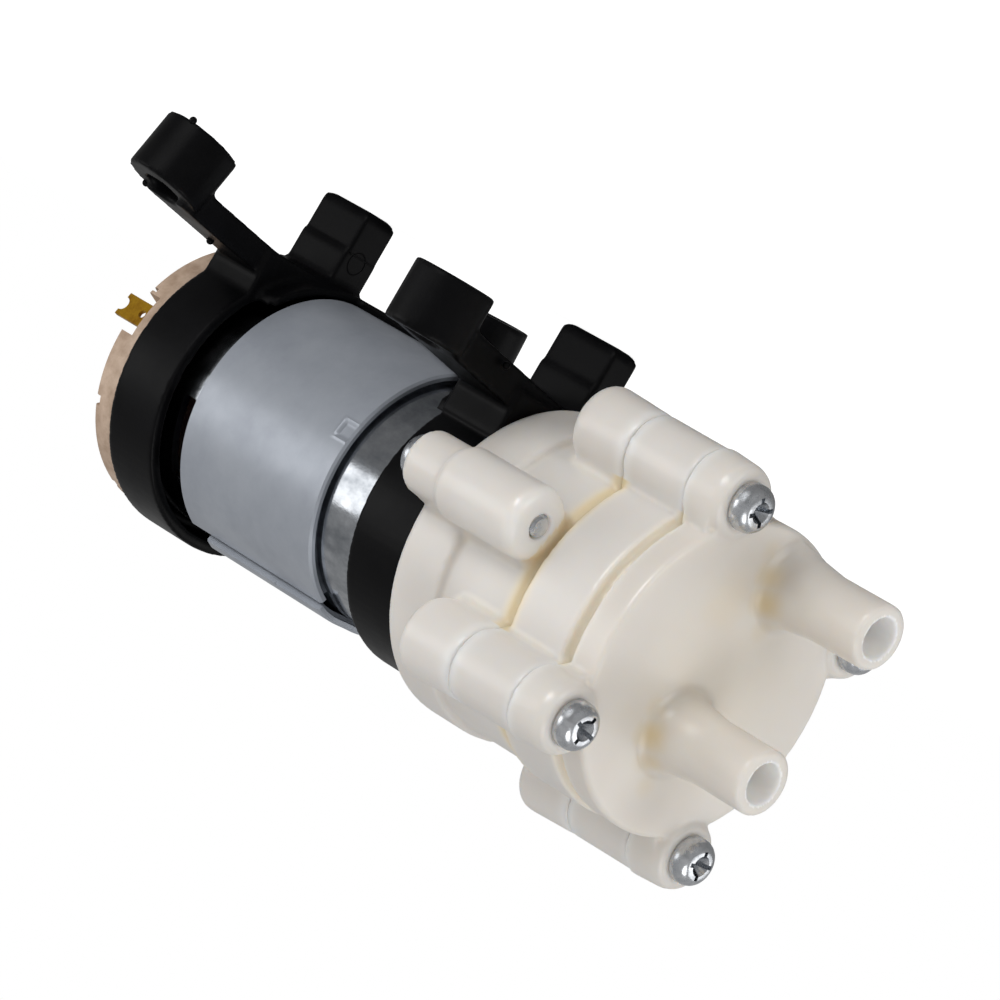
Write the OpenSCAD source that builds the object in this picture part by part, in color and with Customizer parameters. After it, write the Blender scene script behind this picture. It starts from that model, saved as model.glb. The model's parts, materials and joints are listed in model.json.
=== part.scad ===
// Small direct-current diaphragm pump with a three-chamber wobble-plate head and a moulded mounting bracket.
// The motor axis lies along X, the nozzles point to +X, and the two locating tabs of the bracket stand on Z = 0.
// The origin is the middle of the footprint, on the plane that the locating tabs stand on.

/* [Layout] */
// height of the motor axis above the plane of the locating tabs
axis_height = 24.5; // [23.5:0.5:30]
// angle of the nozzle line about the motor axis, from +Y towards +Z
head_turn = 76.25; // [70:0.25:84]
// angle of the two terminals about the motor axis, from +Y towards -Z
terminal_turn = 14; // [0:1:30]

/* [Motor] */
// outer diameter of the motor can
can_d = 27.7; // [27:0.1:28.4]
// length of the motor can
can_len = 40; // [39.5:0.5:41]
// sheet thickness of the can
can_wall = 0.9; // [0.7:0.1:1.1]
// thickness of the flux ring wrapped round the can
flux_ring_t = 1.15; // [0.9:0.05:1.2]
// axial length of the flux ring
flux_ring_len = 22; // [18:0.2:22.4]
// distance from the can's front face back to the flux ring
flux_ring_set_back = 7.3; // [7:0.1:9]
// diameter of the motor shaft
shaft_d = 2.3; // [2:0.1:2.6]
// outer diameter of the end cap's flange
end_cap_d = 30.8; // [30:0.1:31.2]
// thickness of the end cap's flange
end_cap_thick = 3.2; // [2.6:0.1:4]
// length of each terminal beyond the end cap
terminal_len = 6.8; // [5:0.2:9]
// width of each terminal
terminal_w = 2.8; // [2.2:0.1:3.2]

/* [Bracket] */
// outer diameter of the bracket's rear ring
rear_ring_d = 32.6; // [32.2:0.1:34]
// outer diameter of the bracket's front ring
front_ring_d = 31.5; // [31:0.1:33]
// axial width of the rear ring
rear_ring_w = 7.6; // [6.5:0.1:8]
// sideways distance from the motor axis to each rear screw boss
rear_boss_y = 27.1; // [25:0.1:30]
// sideways distance from the motor axis to the front screw boss
front_boss_y = 25.1; // [24:0.1:29]
// outer diameter of each screw boss
boss_d = 9; // [8:0.2:10]
// height of each screw boss
boss_len = 6.8; // [5:0.1:7.2]
// bore of each screw boss
boss_bore_d = 4.2; // [3.2:0.1:5.2]
// outward lean of the rear boss on the side of the front boss
boss_lean = 13; // [0:1:15]
// outward lean of the other rear boss
far_boss_lean = 4; // [0:1:15]
// thickness of the rear locating tab
rear_tab_t = 4.9; // [3:0.1:6]
// thickness of the front locating tab
front_tab_t = 4; // [3:0.1:5]

/* [Pump head] */
// outer diameter of the pump head
head_d = 34.8; // [34:0.1:36]
// radius of the circle on which the cover screws lie
screw_circle_r = 19.6; // [19.2:0.1:20.4]
// diameter of the long screw bosses on the pump base
screw_boss_d = 8.8; // [8.4:0.1:9.4]
// diameter of the cover screw heads
screw_head_d = 5.1; // [4.6:0.1:5.6]
// length of the pump base behind the first groove
base_len = 17.3; // [16.6:0.1:18]
// length of the diaphragm holder between the two grooves
holder_len = 8.9; // [8.6:0.1:9.4]
// thickness of the front cover
cover_len = 3.95; // [3.8:0.05:4.6]
// width of the grooves between the three mouldings
groove_w = 0.9; // [0.5:0.1:1.2]

/* [Nozzles] */
// outer diameter of both nozzles
nozzle_d = 7.1; // [6.6:0.1:7.6]
// bore of both nozzles
nozzle_bore_d = 4.4; // [3.6:0.1:4.8]
// length of both nozzles beyond the cover
nozzle_len = 13; // [10:0.2:18]
// distance of the outlet nozzle from the motor axis
outlet_offset = 6.2; // [6:0.1:6.6]
// distance of the inlet nozzle from the motor axis
inlet_offset = 12.4; // [11.6:0.1:12.5]

/* [Drive] */
// tilt of the wobble plate's pin
pin_tilt = 5; // [3:0.5:6]
// diameter of the wobble plate's pin
pin_d = 2; // [1.6:0.1:2.4]
// distance of each diaphragm chamber from the motor axis
chamber_r = 8.2; // [8:0.1:8.6]

/* [Fits] */
// radial gap of a running fit
running_gap = 0.03; // [0.01:0.01:0.08]
// gap between a soft piece and what holds it
soft_gap = 0.3; // [0.2:0.05:0.35]
// radial gap of a fixed press or slip seat
seat_gap = 0.02; // [0.01:0.01:0.04]

/* [Hidden] */
$fn = 96;
eps = 0.02;
spread = 120;

// stations along the motor axis before the footprint is centred
cover_face_x = 0;
cover_back_x = cover_face_x - cover_len;
holder_back_x = cover_back_x - holder_len;
base_back_x = holder_back_x - base_len;
ear_back_x = base_back_x - 0.6;
spigot_len = 7.8;
spigot_r = 13;
can_front_x = base_back_x - spigot_len;
can_rear_x = can_front_x - can_len;
end_cap_back_x = can_rear_x - end_cap_thick;
terminal_tip_x = end_cap_back_x - terminal_len;
nozzle_tip_x = cover_face_x + nozzle_len;
middle_x = (terminal_tip_x + nozzle_tip_x) / 2;

can_r = can_d / 2;
flux_r = can_r + flux_ring_t;
head_r = head_d / 2;
shaft_r = shaft_d / 2;
groove_r = head_r - 1;
flux_front_x = can_front_x - flux_ring_set_back;
flux_back_x = flux_front_x - flux_ring_len;
rear_ring_back_x = can_rear_x;
rear_ring_front_x = rear_ring_back_x + rear_ring_w;
front_ring_back_x = can_front_x - 0.6;
bearing_r = 3;
bearing_len = 3;
neck_r = 5;
neck_len = 2.2;

// screw sizes
shank_r = 1.3;
head_thick = 1.9;
screw_head_r = screw_head_d / 2;
cover_screw_len = 20;
ear_r = 4;
ear_neck_r = 3.5;
ear_circle_r = 19.7;
ear_front_x = holder_back_x - 0.5;
boss_face_x = cover_face_x + 0.5;
boss_start_x = holder_back_x - 8.2;
boss_taper = 0.3;
web_w = screw_boss_d - 1.2;
drum_step_x = holder_back_x - 10.6;
ear_step_x = holder_back_x - 12.2;
motor_screw_r = 8;
blade_r = can_r - 3.05;
motor_screw_shank_r = 1.25;
motor_screw_head_r = 2.2;
motor_screw_head_t = 1.5;
spigot_wall = 2.5;
spigot_face_x = can_front_x + spigot_wall;

// wobble drive
pivot_x = holder_back_x - 0.7;
ball_r = 1.5;
plate_back_x = pivot_x - 3.3;
plate_front_x = pivot_x - 0.9;
hub_front_x = plate_back_x - 1.6;
hub_len = 10;
hub_r = 4.4;
shaft_seat = 5;
pin_back_x = hub_front_x - 4.2;
chamber_turn = head_turn + 60;
arm_hole_r = 2;
arm_pad_r = 3.4;
tail_r = 1.3;
tail_knob_r = 2.5;
tail_knob_x = plate_back_x - 1.2;
tail_tip_x = tail_knob_x - 1.5;

// diaphragm, valve plate and valves
stack_r = 13.9;
recess_floor_x = cover_back_x - 4.1;
sheet_t = 0.8;
sheet_back_x = recess_floor_x + seat_gap;
sheet_front_x = sheet_back_x + sheet_t;
plate_rear_x = sheet_front_x + seat_gap;
gasket_t = 0.6;
gasket_back_x = cover_back_x - gasket_t;
plate_t = gasket_back_x - seat_gap - plate_rear_x;
plate_fore_x = plate_rear_x + plate_t;
cup_r = 4.1;
cup_bore_r = 4.9;
cup_depth = 4.6;
valve_lift = 0.3;
inlet_valve_r = 1.6;
inlet_valve_pos = 9.5;
outlet_valve_r = 6.1;
valve_stem_r = 0.5;
valve_t = 0.7;
valve_knob_r = 0.85;
port_r = 0.35;
port_pos = 5.4;
pocket_deep = 2.2;
outlet_pocket_r = 6.8;
inlet_pocket_in_r = 7.9;
inlet_pocket_out_r = 12.4;

// moves the axis frame into the footprint frame
module placed() {
    translate([-middle_x, 0, axis_height]) children();
}

// a cylinder along X that starts at x
module rod(x, r, len) {
    translate([x, 0, 0]) rotate([0, 90, 0]) cylinder(r = r, h = len);
}

// a tube along X that starts at x
module pipe(x, outer, inner, len) {
    difference() {
        rod(x, outer, len);
        rod(x - eps, inner, len + 2 * eps);
    }
}

// turns the outline (x, radius) about X
module turned(points) {
    rotate([0, 90, 0]) rotate_extrude() polygon([for (p = points) [p[1], p[0]]]);
}

// moves children to an angle and radius about the motor axis
module around(angle, r) {
    rotate([angle, 0, 0]) translate([0, r, 0]) children();
}

// a pan-head cross-recess screw along X with its head's seat at x and its head towards +X
module pan_screw(x, head_r, thick, r, len) {
    recess_w = 0.8;
    recess_deep = 1.1;
    difference() {
        union() {
            turned([[x, 0], [x, head_r], [x + thick * 0.55, head_r], [x + thick * 0.85, head_r - 0.45],
                [x + thick, head_r - 1.2], [x + thick, 0]]);
            turned([[x + eps, 0], [x + eps, r], [x - len + 1.2, r], [x - len, r * 0.4], [x - len, 0]]);
        }
        for (a = [45, 135]) rotate([a, 0, 0])
            translate([x + thick - recess_deep, -1.5, -recess_w / 2]) cube([recess_deep + 1, 3, recess_w]);
    }
}

module motor_can() color("silver") placed() {
    shoulder = 2.2;
    front = can_front_x;
    difference() {
        turned([[can_rear_x, can_r], [can_rear_x, can_r - can_wall], [front - can_wall, can_r - can_wall],
            [front - can_wall, neck_r - can_wall], [front + neck_len - can_wall, neck_r - can_wall],
            [front + neck_len - can_wall, shaft_r + 0.6], [front + neck_len, shaft_r + 0.6],
            [front + neck_len, neck_r], [front, neck_r], [front, can_r - shoulder],
            [front - shoulder * 0.13, can_r - shoulder * 0.5], [front - shoulder * 0.5, can_r - shoulder * 0.13],
            [front - shoulder, can_r]]);
        for (side = [0, 180]) rotate([side, 0, 0])
            rod_hole(front - can_wall - 1, motor_screw_r, motor_screw_shank_r - 0.1, 3);
        for (side = [-1, 1]) vent(side);
    }
}

// a hole along X at a radius on the Z side of the axis
module rod_hole(x, r, hole_r, len) {
    rotate([head_turn, 0, 0]) translate([0, r, 0]) rod(x, hole_r, len);
}

// one rectangular cooling window through the can wall behind the flux ring
module vent(side) {
    window_len = 2.2;
    window_w = 9;
    translate([rear_ring_front_x + 0.4, 0, 0]) rotate([side * 90 - 62, 0, 0])
        translate([0, can_r - 3, -window_w / 2]) cube([window_len, 6, window_w]);
}

module flux_ring() color("lightslategray") placed() {
    seam = 0.35;
    seam_turn = 84;
    dimple_turn = -12;
    dimple_len = 1.9;
    dimple_w = 2;
    dimple_deep = 0.3;
    edge = 0.25;
    inner = can_r + seat_gap;
    difference() {
        turned([[flux_back_x, inner], [flux_back_x, flux_r - edge], [flux_back_x + edge, flux_r],
            [flux_front_x - edge, flux_r], [flux_front_x, flux_r - edge], [flux_front_x, inner]]);
        rotate([seam_turn, 0, 0]) translate([flux_back_x - 1, 0, -seam / 2])
            cube([flux_ring_len + 2, 2 * flux_r, seam]);
        rotate([dimple_turn, 0, 0]) translate([flux_front_x - dimple_len, flux_r - dimple_deep, -dimple_w / 2])
            cube([dimple_len + 1, 2, dimple_w]);
    }
}

module end_cap() color("wheat") placed() {
    plug_len = 3.4;
    hub_out = 1.8;
    cap_r = end_cap_d / 2;
    notches = 8;
    difference() {
        union() {
            turned([[end_cap_back_x, 0], [end_cap_back_x, cap_r - 0.5], [end_cap_back_x + 0.5, cap_r],
                [can_rear_x, cap_r], [can_rear_x, 0]]);
            turned([[end_cap_back_x - hub_out, 0], [end_cap_back_x - hub_out, 4.4],
                [end_cap_back_x - hub_out + 0.6, 5], [end_cap_back_x + eps, 5], [end_cap_back_x + eps, 0]]);
            rod(can_rear_x - eps, can_r - can_wall - seat_gap, plug_len);
        }
        rod(end_cap_back_x - hub_out + 1, bearing_r + seat_gap, bearing_len + 10);
        rod(can_rear_x + 0.4, can_r - can_wall - 2, plug_len);
        for (k = [0:notches - 1]) rotate([k * 360 / notches + 8, 0, 0])
            translate([end_cap_back_x - 1, cap_r - 0.7, -1.3]) cube([2.6, 3, 2.6]);
        for (side = [0, 180]) rotate([side - terminal_turn, 0, 0])
            translate([end_cap_back_x - 1, blade_r - 0.27, -terminal_w / 2 - seat_gap])
            cube([end_cap_thick + 2, 0.54, terminal_w + 2 * seat_gap]);
    }
}

module terminals() color("gold") placed() {
    blade_t = 0.5;
    for (side = [0, 180]) rotate([side - terminal_turn, 0, 0]) difference() {
        translate([terminal_tip_x, blade_r - blade_t / 2, -terminal_w / 2])
            cube([can_rear_x + 0.4 - terminal_tip_x, blade_t, terminal_w]);
        translate([terminal_tip_x, blade_r + 2, 0]) rotate([90, 0, 0]) cylinder(r = 0.8, h = 4);
        translate([terminal_tip_x + 3.4, blade_r + 2, 0]) rotate([90, 0, 0]) cylinder(r = 0.45, h = 4);
    }
}

// stations of the brush gear
commutator_r = 3.4;
commutator_back_x = can_rear_x + 2.6;
commutator_len = 5;
brush_t = 2.2;
brush_x = commutator_back_x + 1.1;

module brush_arms() color("goldenrod") placed() {
    leaf_t = 0.3;
    brush_out = commutator_r + running_gap + brush_t;
    for (side = [0, 180]) rotate([side - terminal_turn, 0, 0]) {
        translate([can_rear_x + 0.4, brush_out, -1]) cube([leaf_t, blade_r + 0.2 - brush_out, 2]);
        translate([can_rear_x + 0.4, brush_out, -1]) cube([brush_x + 3 - can_rear_x - 0.4, leaf_t, 2]);
    }
}

module brushes() color("dimgray") placed() {
    for (side = [0, 180]) rotate([side - terminal_turn, 0, 0]) difference() {
        translate([brush_x, commutator_r - 0.4, -1.2]) cube([2.8, brush_t + running_gap + 0.4, 2.4]);
        rod(brush_x - 1, commutator_r + running_gap, 6);
    }
}

module magnets() color("darkslategray") placed() {
    outer = can_r - can_wall - seat_gap;
    span = 124;
    magnet_end_gap = 0.2;
    for (side = [0, 180]) rotate([side, 0, 0]) difference() {
        pipe(flux_back_x + magnet_end_gap, outer, outer - magnet_t, flux_ring_len - 2 * magnet_end_gap);
        rotate([-span / 2, 0, 0]) translate([flux_back_x, -can_d, -can_d]) cube([flux_ring_len, 2 * can_d, can_d]);
        rotate([span / 2, 0, 0]) translate([flux_back_x, -can_d, 0]) cube([flux_ring_len, 2 * can_d, can_d]);
    }
}

module rear_bearing() color("peru") placed() {
    pipe(end_cap_back_x - 0.8, bearing_r, shaft_r + running_gap, bearing_len);
}

module front_bearing() color("peru") placed() {
    pipe(can_front_x + neck_len - can_wall - bearing_len, neck_r - can_wall - seat_gap,
        shaft_r + running_gap, bearing_len);
}

module motor_shaft() color("silver") placed() {
    back = end_cap_back_x - 0.6;
    front = hub_front_x - hub_len + shaft_seat;
    turned([[back, 0], [back, shaft_r - 0.3], [back + 0.3, shaft_r], [front - 0.3, shaft_r],
        [front, shaft_r - 0.3], [front, 0]]);
}

// stations of the armature
magnet_t = 2.4;
air_gap = 0.53;
core_r = can_r - can_wall - seat_gap - magnet_t - air_gap;
core_len = 18;
core_back_x = flux_back_x + (flux_ring_len - core_len) / 2;
poles = 5;
slot_in_r = 3.4;
slot_deep = 4.9;
slot_w = 4;
slot_mouth = 1.2;

module pole_gap(k, grow = 0) {
    rotate([k * 360 / poles, 0, 0]) translate([core_back_x - 1, slot_in_r + grow, grow - slot_w / 2])
        cube([core_len + 2, slot_deep - 2 * grow, slot_w - 2 * grow]);
}

module armature_core() color("slategray") placed() {
    difference() {
        rod(core_back_x, core_r, core_len);
        rod(core_back_x - 1, shaft_r + seat_gap, core_len + 2);
        for (k = [0:poles - 1]) {
            pole_gap(k);
            rotate([k * 360 / poles, 0, 0]) translate([core_back_x - 1, slot_in_r + 1, -slot_mouth / 2])
                cube([core_len + 2, core_r, slot_mouth]);
        }
    }
}

module windings() color("chocolate") placed() {
    turn_len = 2.6;
    wire_gap = 0.1;
    inner = slot_in_r + wire_gap;
    outer = slot_in_r + slot_deep - wire_gap;
    for (end = [core_back_x - turn_len - seat_gap, core_back_x + core_len + seat_gap])
        turned([[end, inner], [end, outer - 0.8], [end + 0.6, outer], [end + turn_len - 0.6, outer],
            [end + turn_len, outer - 0.8], [end + turn_len, inner]]);
    for (k = [0:poles - 1]) pole_gap(k, wire_gap);
}

module commutator_hub() color("saddlebrown") placed() {
    pipe(commutator_back_x, commutator_r - 0.7, shaft_r + seat_gap, commutator_len);
    pipe(commutator_back_x + commutator_len - eps, commutator_r - 0.2, shaft_r + seat_gap, 1.2);
}

module commutator_bars() color("darkorange") placed() {
    slit = 0.3;
    difference() {
        pipe(commutator_back_x, commutator_r, commutator_r - 0.7 + seat_gap / 2, commutator_len - 0.1);
        for (k = [0:poles - 1]) rotate([k * 360 / poles, 0, 0])
            translate([commutator_back_x - 1, 0, -slit / 2]) cube([commutator_len + 2, 6, slit]);
    }
}

module thrust_washers() color("ivory") placed() {
    washer_t = 0.4;
    pipe(can_front_x + neck_len - can_wall - bearing_len - washer_t - 0.3, 2.6, shaft_r + seat_gap, washer_t);
    pipe(commutator_back_x - washer_t - seat_gap, 2.2, shaft_r + seat_gap, washer_t);
}

// one screw boss with the arm that carries it and the block that roots the arm on its ring, on the +Y side
module boss_arm(ring_x, ring_w, boss_y, lean, arm_t, rise) {
    arm_w = ring_w - 1.2;
    boss_mid_z = -18.6;
    boss_x = ring_x + ring_w / 2;
    root_y = 2;
    block_y = 12.7;
    block_top_z = -10.1;
    block_foot_z = -15.6;
    slope = 7.2;
    difference() {
        union() {
            translate([boss_x, boss_y, boss_mid_z]) rotate([-lean, 0, 0])
                translate([0, 0, -boss_len / 2]) cylinder(d = boss_d, h = boss_len);
            translate([boss_x - arm_w / 2, boss_y, boss_mid_z + boss_len / 2 + rise]) rotate([-slope, 0, 0])
                translate([0, root_y - boss_y, -arm_t]) cube([arm_w, boss_y - root_y, arm_t]);
            translate([ring_x, root_y, block_foot_z])
                cube([ring_w, block_y - root_y, block_top_z - block_foot_z]);
        }
        translate([boss_x, boss_y, boss_mid_z]) rotate([-lean, 0, 0])
            translate([0, 0, -boss_len]) cylinder(d = boss_bore_d, h = 2 * boss_len);
    }
}

// a square from a to b with its two lower corners rounded
module foot_outline(a, b, low, high, r) {
    translate([a + r, low]) square([b - a - 2 * r, high - low]);
    translate([a, low + r]) square([b - a, high - low - r]);
    for (c = [a + r, b - r]) translate([c, low + r]) circle(r);
}

// one locating tab as wide as its ring that stands on Z = 0
module locating_tab(ring_x, ring_w, y_max, tab_t) {
    foot = -axis_height;
    shoulder = foot + 4.9;
    step = 0.2;
    corner_r = 0.9;
    intersection() {
        translate([0, y_max, 0]) rotate([90, 0, 0]) linear_extrude(tab_t)
            foot_outline(ring_x, ring_x + ring_w, foot, -can_r, corner_r);
        translate([ring_x, 0, 0]) rotate([90, 0, 90]) linear_extrude(ring_w)
            foot_outline(y_max - tab_t, y_max, foot, -can_r, corner_r);
    }
    translate([ring_x, y_max - tab_t - step, shoulder])
        cube([ring_w, tab_t + 2 * step, -can_r - shoulder]);
}

module bracket() color("#18181b") placed() {
    rear_r = rear_ring_d / 2;
    front_r = front_ring_d / 2;
    front_ring_w = base_back_x - front_ring_back_x;
    can_seat_r = can_r + seat_gap;
    bridge_in_r = flux_r + seat_gap;
    bridge_t = 0.9;
    rear_arm_t = 3.1;
    front_arm_t = 3.7;
    rear_rise = 0.7;
    front_rise = 0.1;
    rear_tab_y = 2.7;
    front_tab_y = 2.95;
    difference() {
        union() {
            rod(rear_ring_back_x, rear_r, rear_ring_w);
            rod(front_ring_back_x, front_r, front_ring_w);
            boss_arm(rear_ring_back_x, rear_ring_w, rear_boss_y, boss_lean, rear_arm_t, rear_rise);
            mirror([0, 1, 0])
                boss_arm(rear_ring_back_x, rear_ring_w, rear_boss_y, far_boss_lean, rear_arm_t, rear_rise);
            boss_arm(front_ring_back_x, front_ring_w, front_boss_y, 0, front_arm_t, front_rise);
            locating_tab(rear_ring_back_x, rear_ring_w, rear_tab_y, rear_tab_t);
            locating_tab(front_ring_back_x, front_ring_w, front_tab_y, front_tab_t);
            intersection() {
                rod(rear_ring_front_x - 1, bridge_in_r + bridge_t, front_ring_back_x - rear_ring_front_x + 2);
                bridge_outline(rear_r);
            }
        }
        rod(rear_ring_back_x - 1, can_seat_r, base_back_x - rear_ring_back_x + 2);
        rod(rear_ring_back_x + rear_ring_w / 2, bridge_in_r, rear_ring_w);
        rod(rear_ring_front_x - eps, bridge_in_r, front_ring_back_x - rear_ring_front_x + eps);
    }
    pipe(can_front_x + 0.02, can_seat_r + 0.4, spigot_r + seat_gap, base_back_x - can_front_x - 0.04);
}

// plan view of the bridge under the can, narrow in the middle, off to -Y, and flared to both rings
module bridge_outline(rear_r) {
    back = rear_ring_front_x;
    fore = front_ring_back_x;
    flare = 11.5;
    near_y = 0.4;
    far_y = -6.8;
    translate([0, 0, -rear_r - 4]) linear_extrude(rear_r)
        polygon([[back - 1, flare], [back + 2.6, flare - 0.5], [back + 3.1, near_y], [fore - 19, near_y],
            [fore - 11, 4.4], [fore - 3, 7.4], [fore - 1.6, flare], [fore + 1, flare], [fore + 1, -flare],
            [fore - 1.6, -flare], [fore - 6, far_y], [back + 7, far_y], [back + 2.6, -flare], [back - 1, -flare]]);
}

// four bosses round the head from x forward, each tapering from r by draft, with a rounded rear edge
module screw_bosses(x, r, len, draft, edge_r = 0) {
    edge = edge_r > 0 ? [[x, r - edge_r], [x + edge_r * 0.3, r - edge_r * 0.3], [x + edge_r, r]] : [[x, r]];
    for (k = [0:3]) around(head_turn + 45 + 90 * k, screw_circle_r)
        turned(concat([[x, 0]], edge, [[x + len, r - draft], [x + len, 0]]));
}

module screw_holes(x, r, len) {
    for (k = [0:3]) around(head_turn + 45 + 90 * k, screw_circle_r) rod(x, r, len);
}

// webs that tie each long boss to the round body
module boss_webs(x, len) {
    for (k = [0:3]) rotate([head_turn + 45 + 90 * k, 0, 0])
        translate([x, head_r - 6, -web_w / 2]) cube([len, screw_circle_r - head_r + 6, web_w]);
}

module pump_base() color("ivory") placed() {
    chamber_wall_r = 14.6;
    body_r = head_r - 0.7;
    front = holder_back_x;
    cavity_back_x = base_back_x + 3.4;
    boss_r = screw_boss_d / 2;
    boss_len_x = front - groove_w / 2 - boss_start_x;
    end_round = 0.9;
    end_wall = 1.2;
    ear_round = 1.3;
    ear_web_x = base_back_x + 0.6;
    difference() {
        union() {
            turned([[base_back_x, 0], [base_back_x, head_r - 0.8], [base_back_x + 0.24, head_r - 0.24],
                [base_back_x + 0.8, head_r], [drum_step_x, head_r], [drum_step_x, body_r],
                [front - groove_w, body_r], [front - groove_w, groove_r], [front, groove_r], [front, 0]]);
            rod(can_front_x, spigot_r, spigot_len + eps);
            screw_bosses(boss_start_x, boss_r, boss_len_x, boss_taper, end_round);
            boss_webs(boss_start_x + end_round, boss_len_x - end_round);
            for (side = [-90, 90]) {
                around(head_turn + side, ear_circle_r) rod(ear_back_x, ear_neck_r, ear_step_x - ear_back_x + eps);
                around(head_turn + side, ear_circle_r)
                    turned([[ear_step_x, 0], [ear_step_x, ear_r], [ear_front_x - ear_round, ear_r],
                        [ear_front_x - ear_round * 0.3, ear_r - ear_round * 0.3],
                        [ear_front_x, ear_r - ear_round], [ear_front_x, 0]]);
                rotate([head_turn + side, 0, 0]) translate([ear_web_x, head_r - 4, -ear_neck_r])
                    cube([ear_front_x - ear_round - ear_web_x, 4 + ear_circle_r - head_r, 2 * ear_neck_r]);
            }
        }
        rod(cavity_back_x, chamber_wall_r, front - cavity_back_x + eps);
        rod(spigot_face_x, 10.6, cavity_back_x - spigot_face_x + eps);
        rod(can_front_x - 1, neck_r + seat_gap, spigot_wall + 2);
        for (side = [0, 180]) rotate([side, 0, 0])
            rod_hole(can_front_x - 1, motor_screw_r, motor_screw_shank_r + 0.1, 6);
        screw_holes(boss_start_x + end_wall, shank_r + seat_gap, base_len);
        for (side = [-90, 90]) around(head_turn + side, ear_circle_r)
            rod(ear_back_x - 1, shank_r + seat_gap, base_len + 6);
    }
}

module motor_screws() color("silver") placed() {
    for (side = [0, 180]) rotate([side + head_turn, 0, 0]) translate([0, motor_screw_r, 0])
        pan_screw(spigot_face_x + seat_gap, motor_screw_head_r, motor_screw_head_t, motor_screw_shank_r - 0.12,
            spigot_wall + can_wall + 1.5);
}

module ear_screws() color("silver") placed() {
    for (side = [-90, 90]) around(head_turn + side, ear_circle_r) mirror([1, 0, 0])
        pan_screw(-ear_back_x + seat_gap, 2.5, 1.8, shank_r, ear_front_x - ear_back_x + 0.5);
}

module eccentric_hub() color("khaki") placed() {
    back = hub_front_x - hub_len;
    hole_from = pin_back_x - 0.2 - pivot_x;
    difference() {
        turned([[back, 0], [back, 3.4], [back + 1.6, 3.4], [back + 1.6, hub_r], [hub_front_x - 0.4, hub_r],
            [hub_front_x, hub_r - 0.4], [hub_front_x, 0]]);
        rod(back - 1, shaft_r + seat_gap, shaft_seat + 1);
        translate([pivot_x, 0, 0]) rotate([0, 0, pin_tilt]) rod(hole_from, pin_d / 2 + running_gap, -hole_from);
    }
}

module drive_pin() color("silver") placed() {
    from_pivot = pin_back_x - pivot_x;
    translate([pivot_x, 0, 0]) rotate([0, 0, pin_tilt])
        rod(from_pivot, pin_d / 2, -from_pivot - ball_r - 0.25);
}

module wobble_plate() color("whitesmoke") placed() {
    back = plate_back_x - pivot_x;
    front = plate_front_x - pivot_x;
    translate([pivot_x, 0, 0]) rotate([0, 0, pin_tilt]) difference() {
        union() {
            turned([[back - 0.8, 0], [back - 0.8, 2.6], [back, 3.4], [front, 3.4], [front + 1, 2.6],
                [front + 1, 0]]);
            for (k = [0:2]) rotate([chamber_turn + k * spread, 0, 0]) {
                translate([back, 0, -1.6]) cube([front - back, chamber_r, 3.2]);
                translate([0, chamber_r, 0]) rod(back, arm_pad_r, front - back);
            }
        }
        for (k = [0:2]) around(chamber_turn + k * spread, chamber_r) rod(back - 1, arm_hole_r, 6);
        sphere(r = ball_r + running_gap);
        rod(back - 2, pin_d / 2 + seat_gap, -back + 2 - ball_r - 0.2);
    }
}

module pivot_ball() color("silver") placed() {
    translate([pivot_x, 0, 0]) sphere(r = ball_r);
}

// a straight passage along X at each of the three chambers
module chamber_holes(x, r, len) {
    for (k = [0:2]) around(chamber_turn + k * spread, chamber_r) rod(x, r, len);
}

module diaphragm_holder() color("ivory") placed() {
    back = holder_back_x;
    front = cover_back_x;
    boss_r = screw_boss_d / 2 - boss_taper;
    boss_back_x = back - groove_w / 2 + seat_gap;
    boss_len_x = holder_len + groove_w / 2 - 0.4 - seat_gap;
    difference() {
        union() {
            turned([[back, 0], [back, groove_r], [back + 0.3, groove_r], [back + 0.3, head_r],
                [front - groove_w, head_r], [front - groove_w, groove_r], [front, groove_r], [front, 0]]);
            screw_bosses(boss_back_x, boss_r, boss_len_x, boss_taper / 3);
            boss_webs(boss_back_x, boss_len_x);
        }
        rod(recess_floor_x, stack_r, 10);
        chamber_holes(back - 1, cup_bore_r, holder_len);
        rod(back - 2, groove_r + seat_gap, 2);
        translate([pivot_x, 0, 0]) sphere(r = ball_r + seat_gap);
        screw_holes(back - 2, shank_r + 0.2, holder_len + 4);
    }
}

module diaphragm() color("#2a2a2e") placed() {
    cup_back_x = sheet_back_x - cup_depth;
    wall = 0.8;
    difference() {
        union() {
            rod(sheet_back_x, stack_r - soft_gap, sheet_t);
            chamber_holes(cup_back_x, cup_r, cup_depth + eps);
            chamber_holes(tail_knob_x - eps, tail_r, cup_back_x - tail_knob_x + 2 * eps);
            for (k = [0:2]) around(chamber_turn + k * spread, chamber_r)
                turned([[tail_tip_x, 0], [tail_tip_x, 1.2], [tail_knob_x - 0.5, tail_knob_r],
                    [tail_knob_x, tail_knob_r], [tail_knob_x, 0]]);
        }
        chamber_holes(cup_back_x + wall, cup_r - wall, cup_depth + sheet_t);
        rod(sheet_back_x - 1, valve_knob_r + soft_gap, sheet_t + 2);
    }
}

module valve_plate() color("ivory") placed() {
    difference() {
        rod(plate_rear_x, stack_r - seat_gap, plate_t);
        rod(plate_rear_x - 1, valve_stem_r + running_gap, plate_t + 2);
        for (k = [0:2]) rotate([chamber_turn + k * spread, 0, 0]) {
            translate([0, inlet_valve_pos, 0]) {
                rod(plate_rear_x - 1, valve_stem_r + running_gap, plate_t + 2);
                for (a = [45:90:315]) around(a, 1.1) rod(plate_rear_x - 1, port_r, plate_t + 2);
            }
            for (a = [-9, 0, 9]) around(a, port_pos) rod(plate_rear_x - 1, port_r, plate_t + 2);
        }
    }
}

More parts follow.
